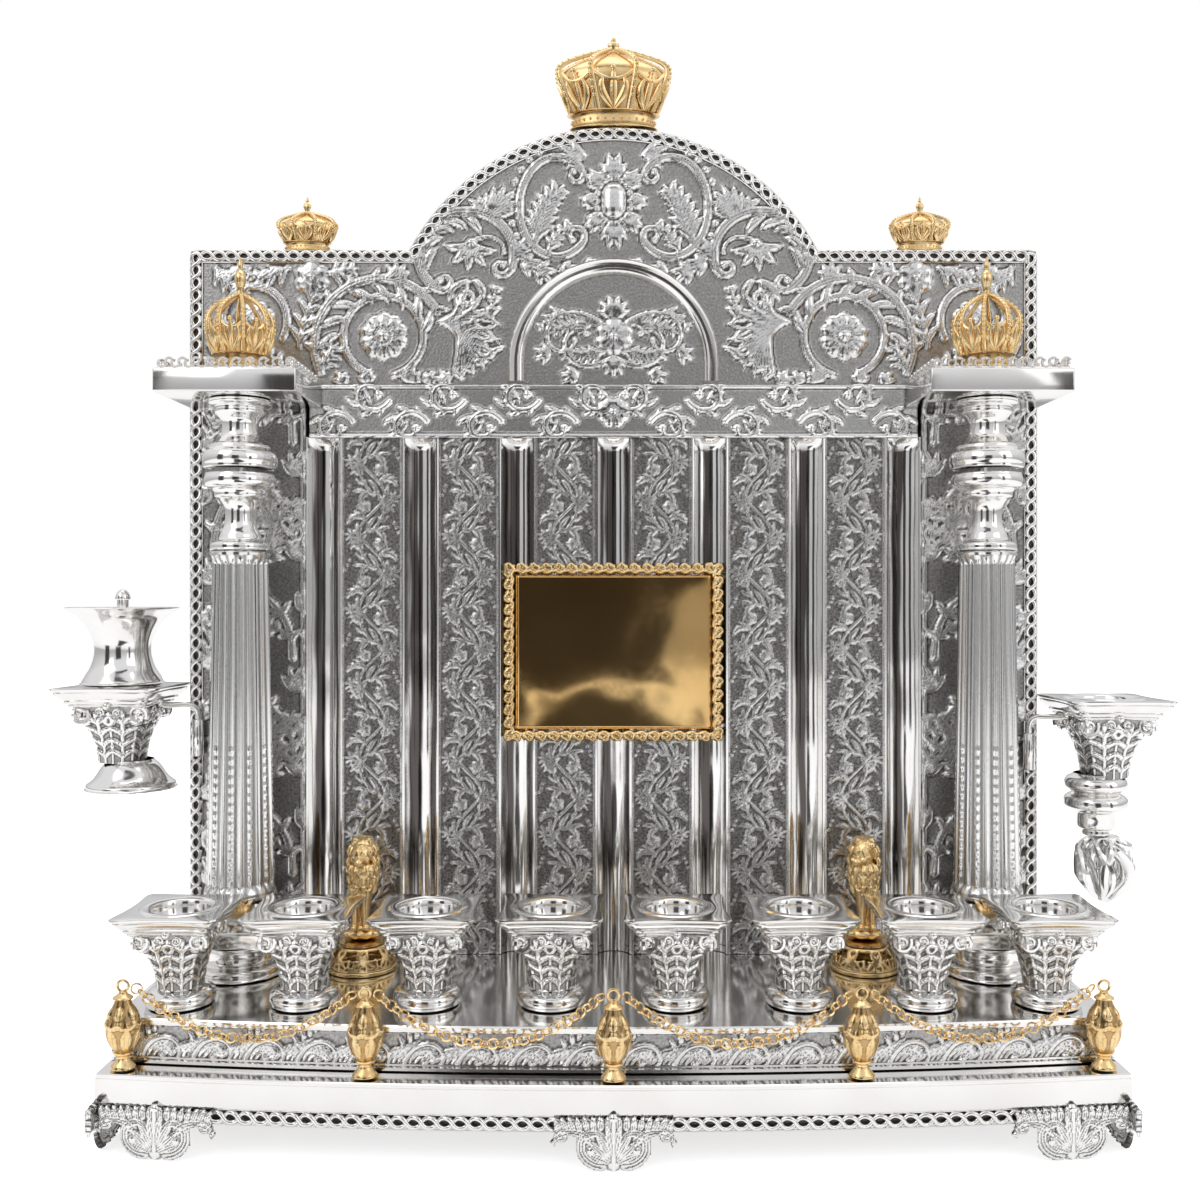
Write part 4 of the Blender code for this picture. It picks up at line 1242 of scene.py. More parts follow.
def buildLamps():
    lampCapital("left")
    turnedPiece("left_holder_foot",
                [(0.1, 143.0), (20.0, 143.0), (21.0, 144.2), (20.8, 145.6), (19.2, 146.8), (17.0, 149.0),
                                     (14.2, 153.4), (12.6, 155.4), (11.6, 156.2), (10.6, 157.4)],
                "left_holder", body="left_lamp")
    vase = [(0.1, 195.0), (18.4, 195.0), (19.0, 196.0), (17.6, 198.6), (15.0, 203.0), (13.3, 208.5),
            (13.0, 213.0),
            (13.6, 217.0), (16.0, 222.5), (20.0, 228.0), (25.0, 231.4), (26.2, 232.4), (26.0, 232.8),
            (24.4, 232.4), (19.0, 228.4),
            (15.0, 223.0), (12.4, 217.0), (11.7, 212.0), (12.0, 205.0), (9.0, 201.4), (0.1, 200.9)]
    turnedPiece("vase", vase, "burner_vase", body="burner", steps=72)
    turnedPiece("wick", [(0.1, 201.1), (2.6, 201.2), (2.7, 206.0), (2.7, 236.0), (3.5, 236.6), (3.5, 238.0),
                         (2.8, 240.0), (1.5, 241.4),
                         (0.1, 241.7)], "wick_tube", body="wick", steps=24)
    lampCapital("right")
    knops = [(0.1, 120.0), (6.4, 120.0), (6.6, 122.6), (8.2, 123.2), (9.2, 125.0), (9.3, 131.0),
             (11.6, 132.2), (14.8, 134.2),
             (15.2, 136.2), (14.6, 138.6), (12.4, 140.2), (11.0, 140.8), (11.0, 141.6), (12.6, 142.0),
             (14.6, 143.6), (14.8, 146.0),
             (13.6, 148.4), (11.6, 149.4), (10.4, 150.4)]
    turnedPiece("right_holder_knops", knops, "right_holder", body="right_lamp")
    for node in ("left_socket", "right_socket"):
        _, _, z0, z1 = standing(node)
        turnedPiece(node + "_tube", [(1.95, z0), (2.4, z0), (2.9, z0 + 0.5), (2.9, z1 - 0.5), (2.4, z1),
                                     (1.95, z1), (1.95, z0)], node,
                    steps=28, smooth=0)
    flamingBud()
    print("stage: lamps")


def flamingBud():
    x, y, z0, z1 = standing("right_bud")
    bm = bmesh.new()
    t = np.linspace(0, 1, 26)
    swell = 15.2 * np.sin(math.pi * np.clip(t, 0, 1) ** 0.72) ** 0.8
    for k in range(12):
        turnBy = tau * k / 12 + (0.9 if k % 2 else 1.5) * np.sin(t * 2.6) * (1 if k % 3 else -0.4)
        reach = np.clip(swell, 1.2, 13.0) * (0.88 if k % 2 else 0.80)
        path = np.stack([x + reach * np.cos(turnBy), y + reach * np.sin(turnBy),
                         z1 - (z1 - z0 - 1.6) * t - 0.8], 1)
        sweep(bm, path, 1.3 + 1.5 * np.sin(math.pi * t), 9, squash=1.5)
    mesh = meshFrom(bm, "bud flames")
    # painted shade in the creases between the flames
    shadeRecesses(mesh, 0.5, 4)
    finishPiece("bud_flames", mesh, "castRelief", ["right_bud"], "right_lamp")
    turnedPiece("bud_heart", [(0.1, z0 + 0.2), (2.6, z0 + 0.3), (4.0, z0 + 2.0), (2.4, z0 + 4.0),
                              (3.0, z0 + 14.0), (4.6, z0 + 16.0), (3.0, z0 + 18.0),
                              (4.5, z0 + 26.0), (6.4, z1 - 2.0), (6.5, z1 - 0.1), (0.1, z1)], "right_bud",
                "castRelief", "right_lamp", 28)


# columns
shaft = {"flutes": 20, "foot": 17.0, "taper": 3.1, "depth": 1.5, "valleyDark": 0.75}


def columnShaft(side, node):
    x, y, z0, z1 = standing(node)
    relief = Relief((0, z0), (tau * 16.0, z1), 0.72, wraps=True)
    flutes = shaft["flutes"]
    for k in range(1, flutes, 2):
        for z in np.arange(z0 + 9 + 1.5, z0 + 74, 4.4):
            relief.stamp(relief.span / flutes * k, z, 1.0, 0.7)

    def place(u, v, h):
        t = (v - z0) / (z1 - z0)
        a = tau * u / relief.span
        body = shaft["foot"] - shaft["taper"] * t
        groove = np.abs(np.sin(flutes * a / 2)) ** 0.7
        inner = np.clip(np.minimum(v - z0 - 5.0, z1 - v - 4.0) / 2.0, 0, 1)
        cuff = 0.9 * np.exp(-((v - z0 - 3.0) / 1.6) ** 2) + 0.7 * np.exp(-((z1 - 2.0 - v) / 1.2) ** 2)
        r = body - shaft["depth"] * groove * inner + h * inner + cuff - 0.9
        return x + r * np.cos(a), y + r * np.sin(a), v
    mesh = relief.sheet("shaft_" + side, place, depth=1.2, ground=0.10)
    # darker along the bottom of each flute
    spots = pointsOf(mesh) / mm - np.array((x, y, 0))
    around = np.arctan2(spots[:, 1], spots[:, 0])
    valley = np.abs(np.sin(flutes * around / 2)) ** 6
    mesh.attributes["patinaAndShade"].data.foreach_set("value", (shaft["valleyDark"] * valley).astype(np.float32))
    finishPiece("shaft_" + side, mesh, "castRelief", [node], sharp=0)
    bm = bmesh.new()
    turn(bm, raised([(16.4, 0.1), (17.1, 0.6), (17.1, 1.8), (16.4, 2.3), (15.4, 2.6)], z0), x, y, 56)
    turn(bm, raised([(13.2, -2.4), (14.2, -2.0), (14.3, -0.8), (13.6, -0.2), (12.6, 0)], z1), x, y, 56)
    finishPiece("shaft_rings_" + side, meshFrom(bm, "rings"), "polished", [node])


def columnBase(side, node):
    x, y, z, _ = standing(node)
    bm = bmesh.new()
    profile = [(0.1, 0), (20.2, 0), (20.9, 1.6), (20.6, 3.6), (19.4, 4.9), (17.2, 5.4), (16.6, 6.6),
               (18.2, 7.4),
               (18.6, 10.0), (18.3, 13.0), (17.8, 15.6), (0.1, 15.8)]
    turn(bm, smoothProfile(raised(profile, z), 4), x, y, 64)
    finishPiece("drum_" + side, meshFrom(bm, "drum"), "polished", [node], sharp=50)
    bm = bmesh.new()
    profile = [(20.6, 16.2), (20.8, 17.0), (20.8, 22.6), (20.2, 23.4), (19.0, 23.6), (18.6, 24.6),
               (16.8, 28.0), (15.2, 32.0), (14.6, 36.0)]
    loft(bm, [squareRing(half, z + up, x, y, 0.0, 64) for half, up in profile])
    finishPiece("block_" + side, meshFrom(bm, "block"), "polished", [node], sharp=30)
    bm = bmesh.new()  # a small gilt leaf at the foot of the shaft, on its inner front
    inward = 1 if side == "left" else -1
    for k in range(5):
        lean = (k - 2) * 0.30
        t = np.linspace(0, 1, 9)
        path = np.stack([x + inward * 4 + (k - 2) * 1.0 + lean * 9 * t ** 1.5,
                         y - 15.6 - 2.2 * np.sin(2.4 * t), z + 29.5 + 11 * t * (1 - 0.08 * abs(k - 2))], 1)
        sweep(bm, path, 1.5 * np.sin(math.pi * (0.15 + 0.8 * t)), 6, squash=0.6)
    finishPiece("shaft_leaf_" + side, meshFrom(bm, "leaf"), "gold", [node])


def abacusAndRail(side, node):
    low, high = boxMm(node)
    bm = bmesh.new()
    made = bmesh.ops.create_cube(bm, size=1.0)["verts"]
    for v in made:
        v.co = Vector([(l + h) / 2 + (h - l) * c for l, h, c in zip(low, high, v.co)]) * mm
    bmesh.ops.bevel(bm, geom=bm.edges[:], offset=0.7 * mm, segments=3, profile=0.5, material=-1,
                    affect="EDGES")
    for v in bm.verts:
        if v.co.z >= (low[2] + 5) * mm:
            v.co.z -= 0.05 * mm
    finishPiece("abacus_slab_" + side, meshFrom(bm, "slab"), "polished", [node])
    bm = bmesh.new()
    x0, x1, y0, y1, z = low[0] + 2.0, high[0] - 2.0, low[1] + 2.0, high[1] - 2.0, high[2] - 0.1
    runs = [((x0, y0), (x1, y0)), ((x0, y0), (x0, y1)), ((x1, y0), (x1, y1))]
    for (ax, ay), (bx, by) in runs:
        length = math.hypot(bx - ax, by - ay)
        count = round(length / 6.6)
        wayX, wayY = (bx - ax) / length, (by - ay) / length
        for k in range(count):
            for hand in (-1, 1):
                t = np.linspace(0, 1, 18)
                turnBy = hand * (t * 4.4 + 0.4)
                reach = 2.6 - 1.7 * t
                s = (k + 0.5) * length / count + hand * 1.7 + reach * np.cos(turnBy) * 0.9
                up = z + 2.9 + reach * np.sin(turnBy)
                sweep(bm, np.stack([ax + wayX * s, ay + wayY * s, up], 1), 0.68, 6)
        sweep(bm, [(ax, ay, z + 0.5), (bx, by, z + 0.5)], 0.5, 6)
    finishPiece("gallery_" + side, meshFrom(bm, "gallery"), "polished", [node])


columnCapitals = {
    "lower": [(0.1, 0), (13.0, 0), (14.0, 1.4), (13.8, 3.2), (12.6, 4.2), (10.4, 5.4), (9.4, 8.4),
              (7.6, 12.5),
              (7.1, 17.5), (7.6, 21.5), (9.6, 24.4), (11.9, 26.0), (12.3, 28.0), (13.2, 29.6), (16.2, 31.2),
              (17.0, 34.0), (16.2, 36.8), (14.8, 37.3), (0.1, 37.5)],
    "upper": [(0.1, 0), (15.4, 0), (17.2, 1.8), (17.8, 4.6), (17.0, 7.8), (15.4, 9.2), (14.6, 10.2),
              (14.2, 11.6),
              (12.4, 12.6), (9.4, 15.6), (8.6, 19.2), (8.8, 23.2), (10.8, 25.8), (12.2, 27.6), (12.0, 30.0),
              (13.2, 30.6), (14.9, 31.8), (14.6, 33.2), (13.0, 33.8), (0.1, 33.9)],
}


def buildColumns():
    for side in ("left", "right"):
        columnBase(side, "column_base_" + side)
        columnShaft(side, "column_shaft_" + side)
        for part, profile in columnCapitals.items():
            node = part + "_capital_" + side
            turnedPiece(part + "_capital_turned_" + side, profile, node, rise=standing(node)[2])
        abacusAndRail(side, "abacus_" + side)
    print("stage: columns")


# crowns
def crownPiece(node, look):
    low, high = boxMm(node)
    x, y = (low[:2] + high[:2]) / 2
    wide, deep, tall = (high[0] - low[0]) / 2, (high[1] - low[1]) / 2, high[2] - low[2]
    flat = deep / wide
    band, z = look["band"] * wide, low[2]
    count, wire = look["ribs"], look["wire"]
    bm = bmesh.new()
    bandTop = tall * look["bandHeight"]
    turn(bm, smoothProfile([(band * 0.80, 0), (band, 0.2), (band * 1.06, 0.9), (band * 0.98, 1.6),
                            (band * 0.97, bandTop - 1.0),
                            (band * 1.08, bandTop - 0.4), (band * 1.10, bandTop),
                            (band * 0.84, bandTop + 0.2), (band * 0.80, 0)], 3), 0, 0, 60)
    beads = count * 4
    for k in range(beads):
        a = tau * k / beads
        ball(bm, band * 1.0 * math.cos(a), band * 1.0 * math.sin(a), bandTop / 2, look["bead"] * 0.72,
             detail=1)
    shoulder = tall * look["shoulder"]
    capTop = tall * look["arch"][-1][1]
    outline, heights = np.array(smoothProfile(look["arch"], 3)).T
    outline = outline * (wide - wire * 1.3)
    heights = heights * tall
    t = np.linspace(0, 1, len(outline))
    for k in range(count):
        a = tau * (k + 0.5) / count
        c, s = math.cos(a), math.sin(a)
        path = np.stack([outline * c, outline * s, heights], 1)
        sweep(bm, path, wire * (1.1 - 0.4 * t), 7)
        for px, py, pz in path[2:-1]:
            ball(bm, px * 1.015 + c * wire * 0.5, py * 1.015 + s * wire * 0.5, pz, look["bead"], detail=1)
        a = tau * k / count  # the leaf between two ribs
        c, s = math.cos(a), math.sin(a)
        rise = shoulder - bandTop
        for lean in (-1, 0, 1):
            u = np.linspace(0, 1, 8)
            spread = a + lean * (tau / count) * 0.30 * np.sin(u * 2.2)
            reach = band * 1.03 + (wide * 0.93 - band) * u ** 1.2 * look["flare"]
            leaf = np.stack([reach * np.cos(spread), reach * np.sin(spread),
                             bandTop + rise * u * (0.78 + 0.22 * (lean == 0))], 1)
            sweep(bm, leaf, wire * 1.25 * np.sin(math.pi * (0.12 + 0.76 * u)), 6)
        u = np.linspace(-1, 1, 13)  # a swag between two ribs
        arc = a + u * tau / count / 2
        reach = (band + (wide - wire * 1.6 - band) * look["flare"]) * np.ones(13)
        hang = bandTop + rise * (0.74 + 0.26 * u ** 2)
        sweep(bm, np.stack([reach * np.cos(arc), reach * np.sin(arc), hang], 1), wire * 0.62, 6)
        tipReach = band * 1.03 + (wide * 0.93 - band) * look["flare"]
        ball(bm, tipReach * c, tipReach * s, shoulder + wire * 0.4, look["bead"] * 1.25, detail=1)
    if look["panel"]:
        cap = [(band * 0.92, bandTop)] + [(r * 0.84, h - wire) for r,
                                          h in zip(outline, heights)] + [(0.1, capTop)]
        turn(bm, cap, 0, 0, 60)
    neck = capTop - wire
    turn(bm, smoothProfile([(look["bead"] * r, neck + (tall - neck) * h) for r, h in spire], 3), 0, 0, 20)
    for v in bm.verts:
        v.co = Vector((v.co.x + x * mm, v.co.y * flat + y * mm, v.co.z + z * mm))
    mesh = meshFrom(bm, node)
    # painted shade in the crown's recesses
    shadeRecesses(mesh, 0.28, 4)
    finishPiece(node + "_cast", mesh, "gold", [node], sharp=60)


spire = [(0.1, 0), (2.2, 0.02), (1.4, 0.18), (2.5, 0.42), (2.2, 0.58), (0.9, 0.68), (1.1, 0.78), (0.7, 0.9),
         (0.1, 1.0)]
crownLooks = {
    "crown_top": {"band": 0.67, "bandHeight": 0.17, "ribs": 8, "wire": 1.5, "bead": 1.2, "shoulder": 0.56,
                  "arch": ((0.70, 0.17), (0.86, 0.38), (1.0, 0.57), (0.90, 0.68), (0.52, 0.78), (0.12, 0.86)),
                  "flare": 0.80, "panel": True},
    "crown_small": {"band": 0.68, "bandHeight": 0.18, "ribs": 8, "wire": 0.95, "bead": 0.8, "shoulder": 0.48,
                    "arch": ((0.68, 0.18), (0.86, 0.34), (1.0, 0.48), (0.88, 0.58), (0.5, 0.66),
                             (0.12, 0.72)),
                    "flare": 0.85, "panel": True},
    "column_crown": {"band": 0.70, "bandHeight": 0.17, "ribs": 8, "wire": 1.35, "bead": 1.1, "shoulder": 0.42,
                     "arch": ((0.70, 0.17), (0.94, 0.31), (1.0, 0.41), (0.92, 0.52), (0.58, 0.61),
                              (0.12, 0.68)),
                     "flare": 0.9, "panel": False},
}


def buildCrowns():
    for kind, look in crownLooks.items():
        for node in [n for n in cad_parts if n.startswith(kind)]:
            crownPiece(node, look)
    print("stage: crowns")


# plaque
def buildPlaque():
    low, high = boxMm("plaque_frame")
    cx, cz = (low[0] + high[0]) / 2, (low[2] + high[2]) / 2
    hx, hz = (high[0] - low[0]) / 2, (high[2] - low[2]) / 2
    relief = Relief((low[0], low[2]), (high[0], high[2]), 0.5)
    for side in range(4):
        length, reach = (hz, hx) if side % 2 else (hx, hz)
        a = side * math.pi / 2
        c, n, out = math.cos(a), math.sin(a), 90 - math.degrees(a)
        for s in np.arange(-length + 4, length - 2, 6.4):
            px, pz = cx + s * c + (reach - 4.6) * n, cz - s * n + (reach - 4.6) * c
            for lean in (-48, 0, 48):
                lobe(relief, px, pz, out + lean, 4.6, -lean * 0.25, 1.25, 1.9)
            path, _ = stem(px, pz, out + 100, 7.5, -16, -40)
            relief.stroke(path, 0.95, 2.2)
        line = np.arange(-length + 3.4, length - 3.0, 0.4)
        wave = reach - 4.4 + 0.5 * np.sin(line * tau / 6.4)
        relief.stroke(np.stack([cx + line * c + wave * n, cz - line * n + wave * c], 1), 1.0, 1.5)

    def keep(u, v):
        return relief.read(relief.height, u, v) > 0.4

    def place(u, v, h):
        return u, high[1] - 1.0 - h * 1.1, v
    mesh = relief.sheet("plaque_rocaille", place, keep, skirt=0.7, depth=1.9, ground=0.5)
    finishPiece("plaque_rocaille", mesh, "gold", ["plaque_frame"], sharp=0)
    low, high = boxMm("plaque_plate")
    bm = bmesh.new()
    bmesh.ops.create_grid(bm, x_segments=60, y_segments=50, size=0.5)
    mid, half = (low + high) / 2, (high - low) / 2
    for v in bm.verts:
        u, w = v.co.x * 2, v.co.y * 2
        dome = 1.3 * (1 - u * u) * (1 - w * w)
        v.co = Vector((mid[0] + u * half[0], high[1] - 1.0 - dome, mid[2] + w * half[2])) * mm
    piece = finishPiece("plaque_sheet", meshFrom(bm, "plaque", False), "goldPlate", ["plaque_plate"], sharp=0)
    thicken(piece, 0.8)
    print("stage: plaque")


# lions, urns and chains
def melted(name, bm, voxel):  # balls and bars melted into one cast body
    rough = bpy.data.objects.new(name + "_rough", meshFrom(bm, name))
    bpy.context.collection.objects.link(rough)
    remesh = rough.modifiers.new("melt", "REMESH")
    remesh.mode, remesh.voxel_size = "VOXEL", voxel * mm
    soften = rough.modifiers.new("soften", "SMOOTH")
    soften.factor, soften.iterations = 0.5, 1
    made = bpy.data.meshes.new_from_object(rough.evaluated_get(bpy.context.evaluated_depsgraph_get()))
    bpy.data.objects.remove(rough, do_unlink=True)
    return made


def lion(side, node):
    x, y, z, _ = standing(node)
    gaze = 0.0 if side == "left" else 0.9
    bm = bmesh.new()
    ball(bm, 0, 0.5, 2.6, 9.6, (1.0, 0.78, 0.34))
    ball(bm, 0, 0.8, 5.6, 7.4, (1.0, 0.80, 0.34))
    ball(bm, 0, 1.8, 14, 4.0, (0.85, 0.95, 2.1))
    ball(bm, 0, 0.4, 23, 5.6, (1.0, 0.9, 1.0))
    ball(bm, 0, -0.6, 31, 6.8, (1.0, 0.92, 1.25))
    for hand in (-1, 1):
        sweep(bm, [(hand * 3.2, -3.2, 24), (hand * 2.7, -4.6, 15), (hand * 2.6, -5.2, 7.0)],
              (2.4, 1.75, 1.6), 8)
        ball(bm, hand * 2.9, -6.0, 6.6, 2.0, (0.95, 1.25, 0.7))
        ball(bm, hand * 6.6, -2.6, 3.0, 2.4, (1.0, 1.2, 0.7))
    c, s = math.cos(gaze), math.sin(gaze)

    def head(dx, dy, dz, size, scale=(1, 1, 1)):
        ball(bm, dx * c + dy * s, -dx * s + dy * c - 0.5, 40 + dz, size, scale)
    head(0, -1.6, 0, 5.6, (0.95, 1.0, 1.15))
    head(0, -6.4, -2.2, 3.1, (0.95, 1.35, 0.8))
    head(0, 0.8, 4.4, 4.8, (1.0, 1.0, 0.75))
    head(0, -8.8, -1.4, 1.2)
    head(0, -6.0, -3.6, 1.7, (1.0, 1.0, 0.7))
    for hand in (-1, 1):
        head(hand * 4.2, 0.4, 5.0, 1.7)
        head(hand * 2.3, -5.0, 1.6, 0.8)
        head(hand * 1.5, -7.0, -2.3, 1.2)
        head(hand * 3.2, -4.6, -1.5, 1.7)
    for row, (ring, height) in enumerate(((4.6, 6.4), (7.0, 2.6), (7.7, -2.0), (7.6, -6.0), (7.3, -10.0),
                                          (6.6, -14.0))):
        for k in range(12):
            a = tau * (k + 0.5 * (row % 2)) / 12
            if math.cos(a) > 0.72 and height > -5:
                continue
            px, py = ring * math.sin(a) * 0.92, -ring * math.cos(a) * 0.85 + 0.8
            sweep(bm, [(px * 0.85, py * 0.85, 40 + height + 1.5), (px * 1.04, py * 1.04, 40 + height - 1.0),
                       (px * 0.96, py * 0.96, 40 + height - 4.6)],
                  (1.2, 1.45, 0.5), 6)
    sweep(bm, [(3, 6, 3), (6.5, 5.5, 4), (7.6, 1.5, 5), (7.8, -1.5, 9)], (1.2, 1.1, 1.0, 1.5), 6)
    for v in bm.verts:
        v.co = v.co * 1.03 + Vector((x, y, z)) * mm
    mesh = melted(node, bm, 0.34)
    # painted shade in the lion's recesses
    shadeRecesses(mesh, 0.35, 8)
    finishPiece(node + "_cast", mesh, "gold", [node], sharp=0)


def domeLace(name, node, z0, z1):  # a dome of open scrollwork
    x, y = standing(node)[:2]
    relief = Relief((0, z0), (tau * 15.0, z1), 0.55, wraps=True)
    domeMotif(relief, z0, z1)

    def keep(u, v):
        return relief.read(relief.height, u, v) > 0.35

    def place(u, v, h):
        a, t = tau * u / relief.span, (v - z0) / (z1 - z0)
        r = 16.6 * np.sqrt(np.clip(1 - 0.60 * t ** 1.6, 0, 1)) - 0.6 + h * 0.45
        return x + r * np.cos(a), y + r * np.sin(a), v
    mesh = relief.sheet(name, place, keep, depth=1.4, ground=0.5)
    thicken(finishPiece(name, mesh, "gold", [node], sharp=0), 1.0)


def domeMotif(relief, z0, z1):
    step = relief.span / 7
    for z, r in ((z0 + 0.9, 1.0), (z1 - 0.7, 0.9), ((z0 + z1) / 2, 0.5)):
        relief.stroke([(u, z) for u in np.arange(0, relief.span, 0.4)], r, 1.2)
    for k in range(7):
        u = step * k
        for hand in (-1, 1):
            path, _ = stem(u + hand * 1.0, z0 + 1.0, 90 - hand * 25, 17, -hand * 4, -hand * 36)
            relief.stroke(path, 0.95, 1.3)
            path, _ = stem(u + hand * 4.2, z1 - 0.8, -90 + hand * 10, 12, hand * 4, hand * 46)
            relief.stroke(path, 0.8, 1.2)
        relief.stroke([(u, z) for z in np.arange(z0, z0 + 6, 0.4)], 0.9, 1.3)
        relief.stamp(u + step / 2, z0 + 4.0, 1.7, 1.5)


def buildLions():
    for side in ("left", "right"):
        dome = "lion_dome_" + side
        _, _, z0, z1 = standing(dome)
        domeLace("dome_lace_" + side, dome, z0 + 1.6, z1 - 1.6)
        turnedPiece("dome_rims_" + side, [(0.1, -2.0), (9.6, -2.0), (10.6, -1.2), (10.2, -0.2), (0.1, 0)],
                    dome, "gold",
                    rise=z1)
        turnedPiece("dome_foot_" + side,
                    [(13.0, 0), (16.6, 0), (17.0, 0.8), (16.4, 1.8), (14.6, 2.0), (13.0, 0)], dome,
                    "gold", rise=z0)
        lion(side, "lion_" + side)
    print("stage: lions")


urnSpots = {}


def urn(node):
    x, y, z, _ = standing(node)
    urnSpots[node] = (x, y)
    relief = Relief((0, 7.0), (tau * 6.0, 30.0), 0.42, wraps=True)
    step = relief.span / 6
    for k in range(6):
        u = step * k
        for hand in (-1, 1):
            lobe(relief, u + hand * 0.6, 8.0, 90 - hand * 16, 11.0, hand * 3.4, 1.3, 1.3)
            lobe(relief, u, 17.0, 90 - hand * 34, 6.0, -hand * 12, 1.1, 1.5)
            lobe(relief, u + step / 2, 26.5, -90 + hand * 30, 6.5, -hand * 10, 1.2, 1.4)
        lobe(relief, u, 9.0, 90, 13.0, 0, 0.9, 1.6)
        relief.stamp(u + step / 2, 20.0, 1.5, 1.5)
    spots = [(0.0, 3.6), (0.10, 5.4), (0.30, 6.9), (0.55, 7.5), (0.72, 6.2), (0.86, 4.6), (1.0, 3.4)]
    ts, rs = zip(*spots)

    def place(u, v, h):
        a = tau * u / relief.span
        r = np.interp((v - 7.0) / 23.0, ts, rs) - 0.4 + h * 0.55
        return x + r * np.cos(a), y + r * np.sin(a) * 0.74, z + v
    mesh = relief.sheet(node + "_body", place, depth=1.4, ground=0.6)
    finishPiece(node + "_body", mesh, "gold", [node], sharp=0)
    bm = bmesh.new()
    turn(bm, smoothProfile([(0.1, 0), (4.9, 0), (5.2, 0.9), (4.4, 2.0), (3.2, 3.4), (2.6, 4.6), (3.0, 5.6),
                            (4.0, 6.2), (3.6, 7.2), (0.1, 7.4)], 3), steps=32)
    turn(bm, smoothProfile([(0.1, 29.4), (3.9, 29.6), (4.2, 30.2), (3.2, 31.0), (2.0, 31.8), (1.7, 32.6),
                            (0.1, 32.8)], 3), steps=32)
    for k in range(8):
        a = tau * k / 8
        ball(bm, 4.5 * math.cos(a), 4.5 * math.sin(a), 0.9, 0.85, detail=1)
    for v in bm.verts:
        v.co.y *= 0.8
    ring = [(2.35 * math.cos(a), 0, 35.0 + 2.35 * math.sin(a)) for a in tau * np.arange(20) / 20]
    sweep(bm, ring, 0.62, 8, closed=True)
    for v in bm.verts:
        v.co += Vector((x, y, z)) * mm
    finishPiece(node + "_trim", meshFrom(bm, node), "gold", [node])


swag = {"clear": 4.6, "height": 71.2, "sag": 21.0, "link": 2.25, "wire": 0.42}


def chain(index):
    (x0, y0), (x1, y1) = urnSpots["urn_%d" % index], urnSpots["urn_%d" % (index + 1)]
    t = np.linspace(0, 1, 241)
    path = np.stack([x0 + swag["clear"] + (x1 - x0 - 2 * swag["clear"]) * t, y0 + (y1 - y0) * t,
                     swag["height"] - 4 * swag["sag"] * t * (1 - t)], 1)
    run = np.append(0, np.cumsum(np.linalg.norm(np.diff(path, axis=0), axis=1)))
    count = round(run[-1] / 3.35)
    bm = bmesh.new()
    for k in range(count):
        s = (k + 0.5) * run[-1] / count
        mid = np.array([np.interp(s, run, path[:, i]) for i in range(3)])
        ahead = np.array([np.interp(s + 0.5, run, path[:, i]) - np.interp(s - 0.5, run, path[:, i])
                          for i in range(3)])
        ahead /= np.linalg.norm(ahead)
        up = np.cross(ahead, (0, 1, 0))
        up /= np.linalg.norm(up)
        out = np.cross(ahead, up)
        lean = math.radians(38 if k % 2 else -52)
        across = math.cos(lean) * up + math.sin(lean) * out
        ring = [mid + swag["link"] * (math.cos(a) * ahead + math.sin(a) * across)
                for a in tau * np.arange(14) / 14]
        sweep(bm, ring, swag["wire"], 6, closed=True)
    node = "chain_%d" % index
    piece = finishPiece(node + "_links", meshFrom(bm, node), "gold", [node])


def buildUrnsAndChains():
    for index in range(1, 6):
        urn("urn_%d" % index)
    for index in range(1, 5):
        chain(index)
    print("stage: urns and chains")


# studio
studio = {
    "cards": (("front card", (-0.12, -1.4, 0.35), 0.55, 0.9, (0, 0, 0.25)),
              ("left card", (-1.0, -0.8, 0.3), 0.40, 1.0, (0, 0, 0.25)),
              ("right card", (0.95, -1.0, 0.3), 0.20, 1.0, (0, 0, 0.25)),
              ("floor card", (-0.06, -0.75, 0.003), 0.30, 0.9, (-0.06, -0.75, 1.0)),
              ("top card", (0.0, -0.7, 1.3), 0.8, 0.16, (0, 0, 0.25))),
    "lamps": (("key", (-0.9, -1.0, 1.1), 0.9, 0.9, 2.6), ("fill", (1.1, -0.9, 0.8), 0.9, 0.9, 1.8),
              ("top", (0.0, 0.0, 1.5), 1.2, 0.8, 2.4)),
}


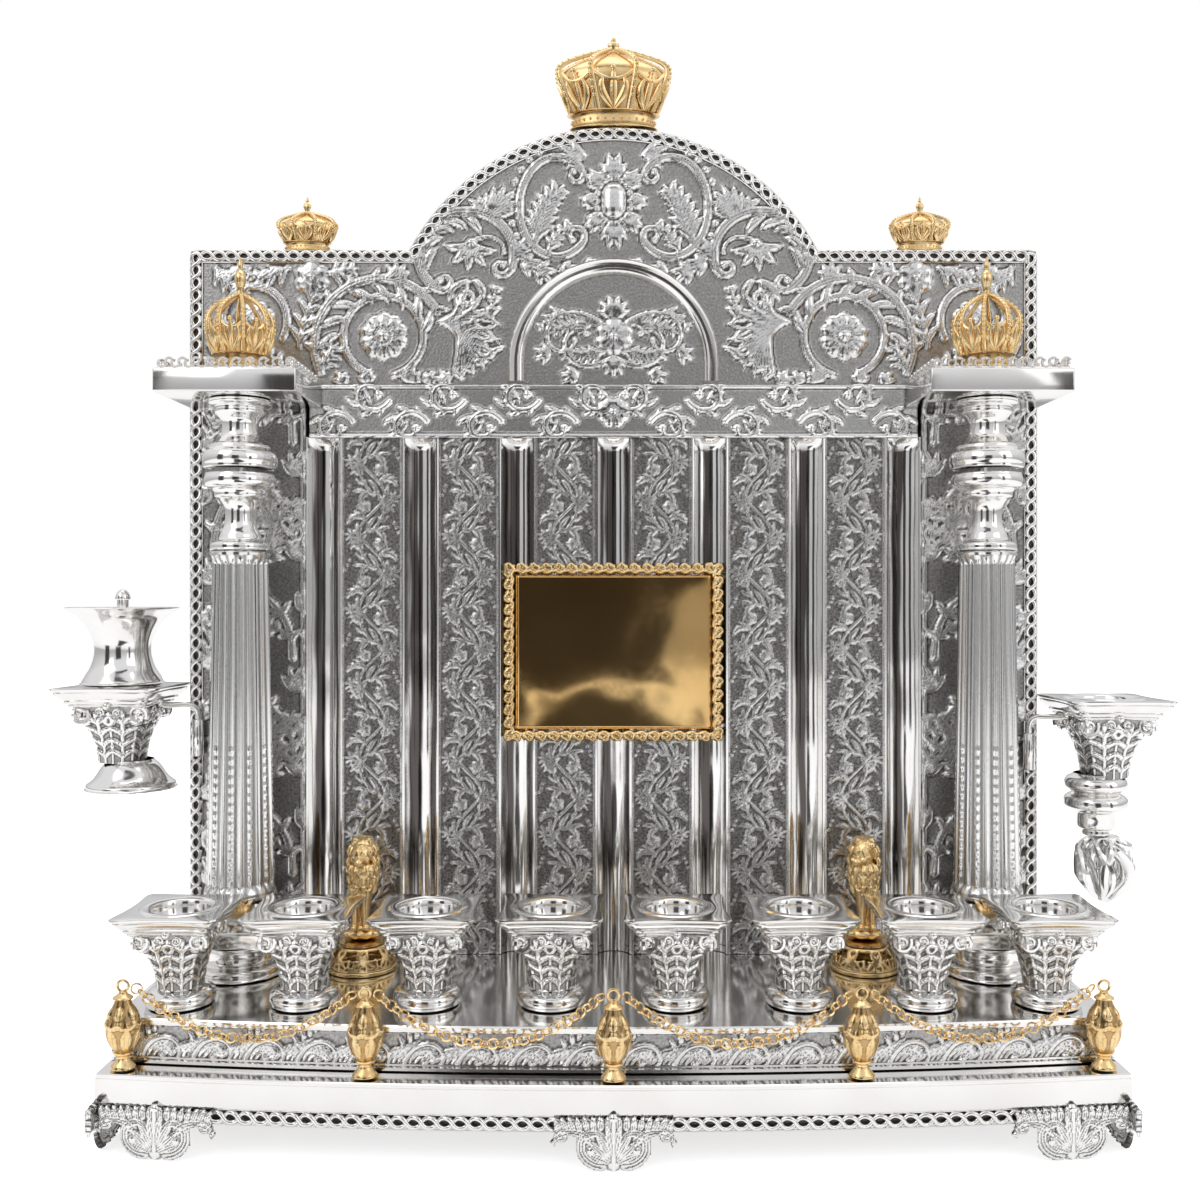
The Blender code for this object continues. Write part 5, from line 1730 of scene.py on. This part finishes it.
def buildStudio():
    size = 3.0
    bm = bmesh.new()
    bmesh.ops.create_grid(bm, x_segments=1, y_segments=1, size=size)
    floor = bpy.data.objects.new("floor", meshFrom(bm, "floor", False))
    bpy.context.collection.objects.link(floor)
    paper = Finish("white paper", 0.0)
    camera = makeNode(paper.tree, "ShaderNodeLightPath", None, None, "Is Camera Ray")
    glossy = makeNode(paper.tree, "ShaderNodeLightPath", None, None, "Is Glossy Ray")
    paper.feed(Base_Color=(0.93, 0.93, 0.93, 1), Roughness=0.9)
    glow = (camera * 0.72 + glossy * 0.25).limit()
    paper.feed(Emission_Color=mixColors(glow, (0, 0, 0, 1), (1, 1, 1, 1)), Emission_Strength=1.0)
    floor.data.materials.append(paper.material)
    for name, at, width, height, face in studio["cards"]:
        bm = bmesh.new()
        bmesh.ops.create_grid(bm, x_segments=1, y_segments=1, size=0.5)
        card = bpy.data.objects.new(name, meshFrom(bm, name, False))
        bpy.context.collection.objects.link(card)
        card.location = at
        card.scale = (width, height, 1)
        card.rotation_euler = (Vector(face) - Vector(at)).to_track_quat("Z", "Y").to_euler()
        dark = Finish("dark card", 0.0)
        dark.feed(Base_Color=(0.035, 0.03, 0.028, 1), Roughness=0.8)
        card.data.materials.append(dark.material)
        card.visible_camera = False
        card.visible_diffuse = False
        card.visible_shadow = False
    for name, at, width, height, power in studio["lamps"]:
        lamp = bpy.data.objects.new(name, bpy.data.lights.new(name, "AREA"))
        bpy.context.collection.objects.link(lamp)
        lamp.data.shape = "RECTANGLE"
        lamp.data.size, lamp.data.size_y, lamp.data.energy = width, height, power
        lamp.location = at
        lamp.rotation_euler = (Vector((0, 0, 0.22)) - Vector(at)).to_track_quat("-Z", "Y").to_euler()
    world = bpy.data.worlds.new("studio")
    bpy.context.scene.world = world
    world.use_nodes = True
    tree = world.node_tree
    back = tree.nodes["Background"]
    path = makeNode(tree, "ShaderNodeLightPath", None, None, "Is Camera Ray")
    gaze = makeNode(tree, "ShaderNodeTexCoord", None, None, "Generated")
    height = makeNode(tree, "ShaderNodeSeparateXYZ", None, {0: gaze}, "Z")
    sky = makeNode(tree, "ShaderNodeValToRGB",
                   {"stops": ((0.42, (0.35, 0.35, 0.355)), (0.72, (0.80, 0.80, 0.82)))},
                   {0: height * 0.5 + 0.5})
    shade = mixColors(path, sky, (1, 1, 1, 1))
    tree.links.new(shade.output, back.inputs["Color"])
    bpy.context.scene.view_settings.view_transform = "Standard"


addCamera()
buildWall()
buildBase()
buildFeet()
buildCups()
buildLamps()
buildColumns()
buildCrowns()
buildPlaque()
buildLions()
buildUrnsAndChains()
buildStudio()
for node, look in {"wall_back_cover": "polished", "bottom_board": "board"}.items():
    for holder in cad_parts[node].material_slots:
        holder.material = looks[look]
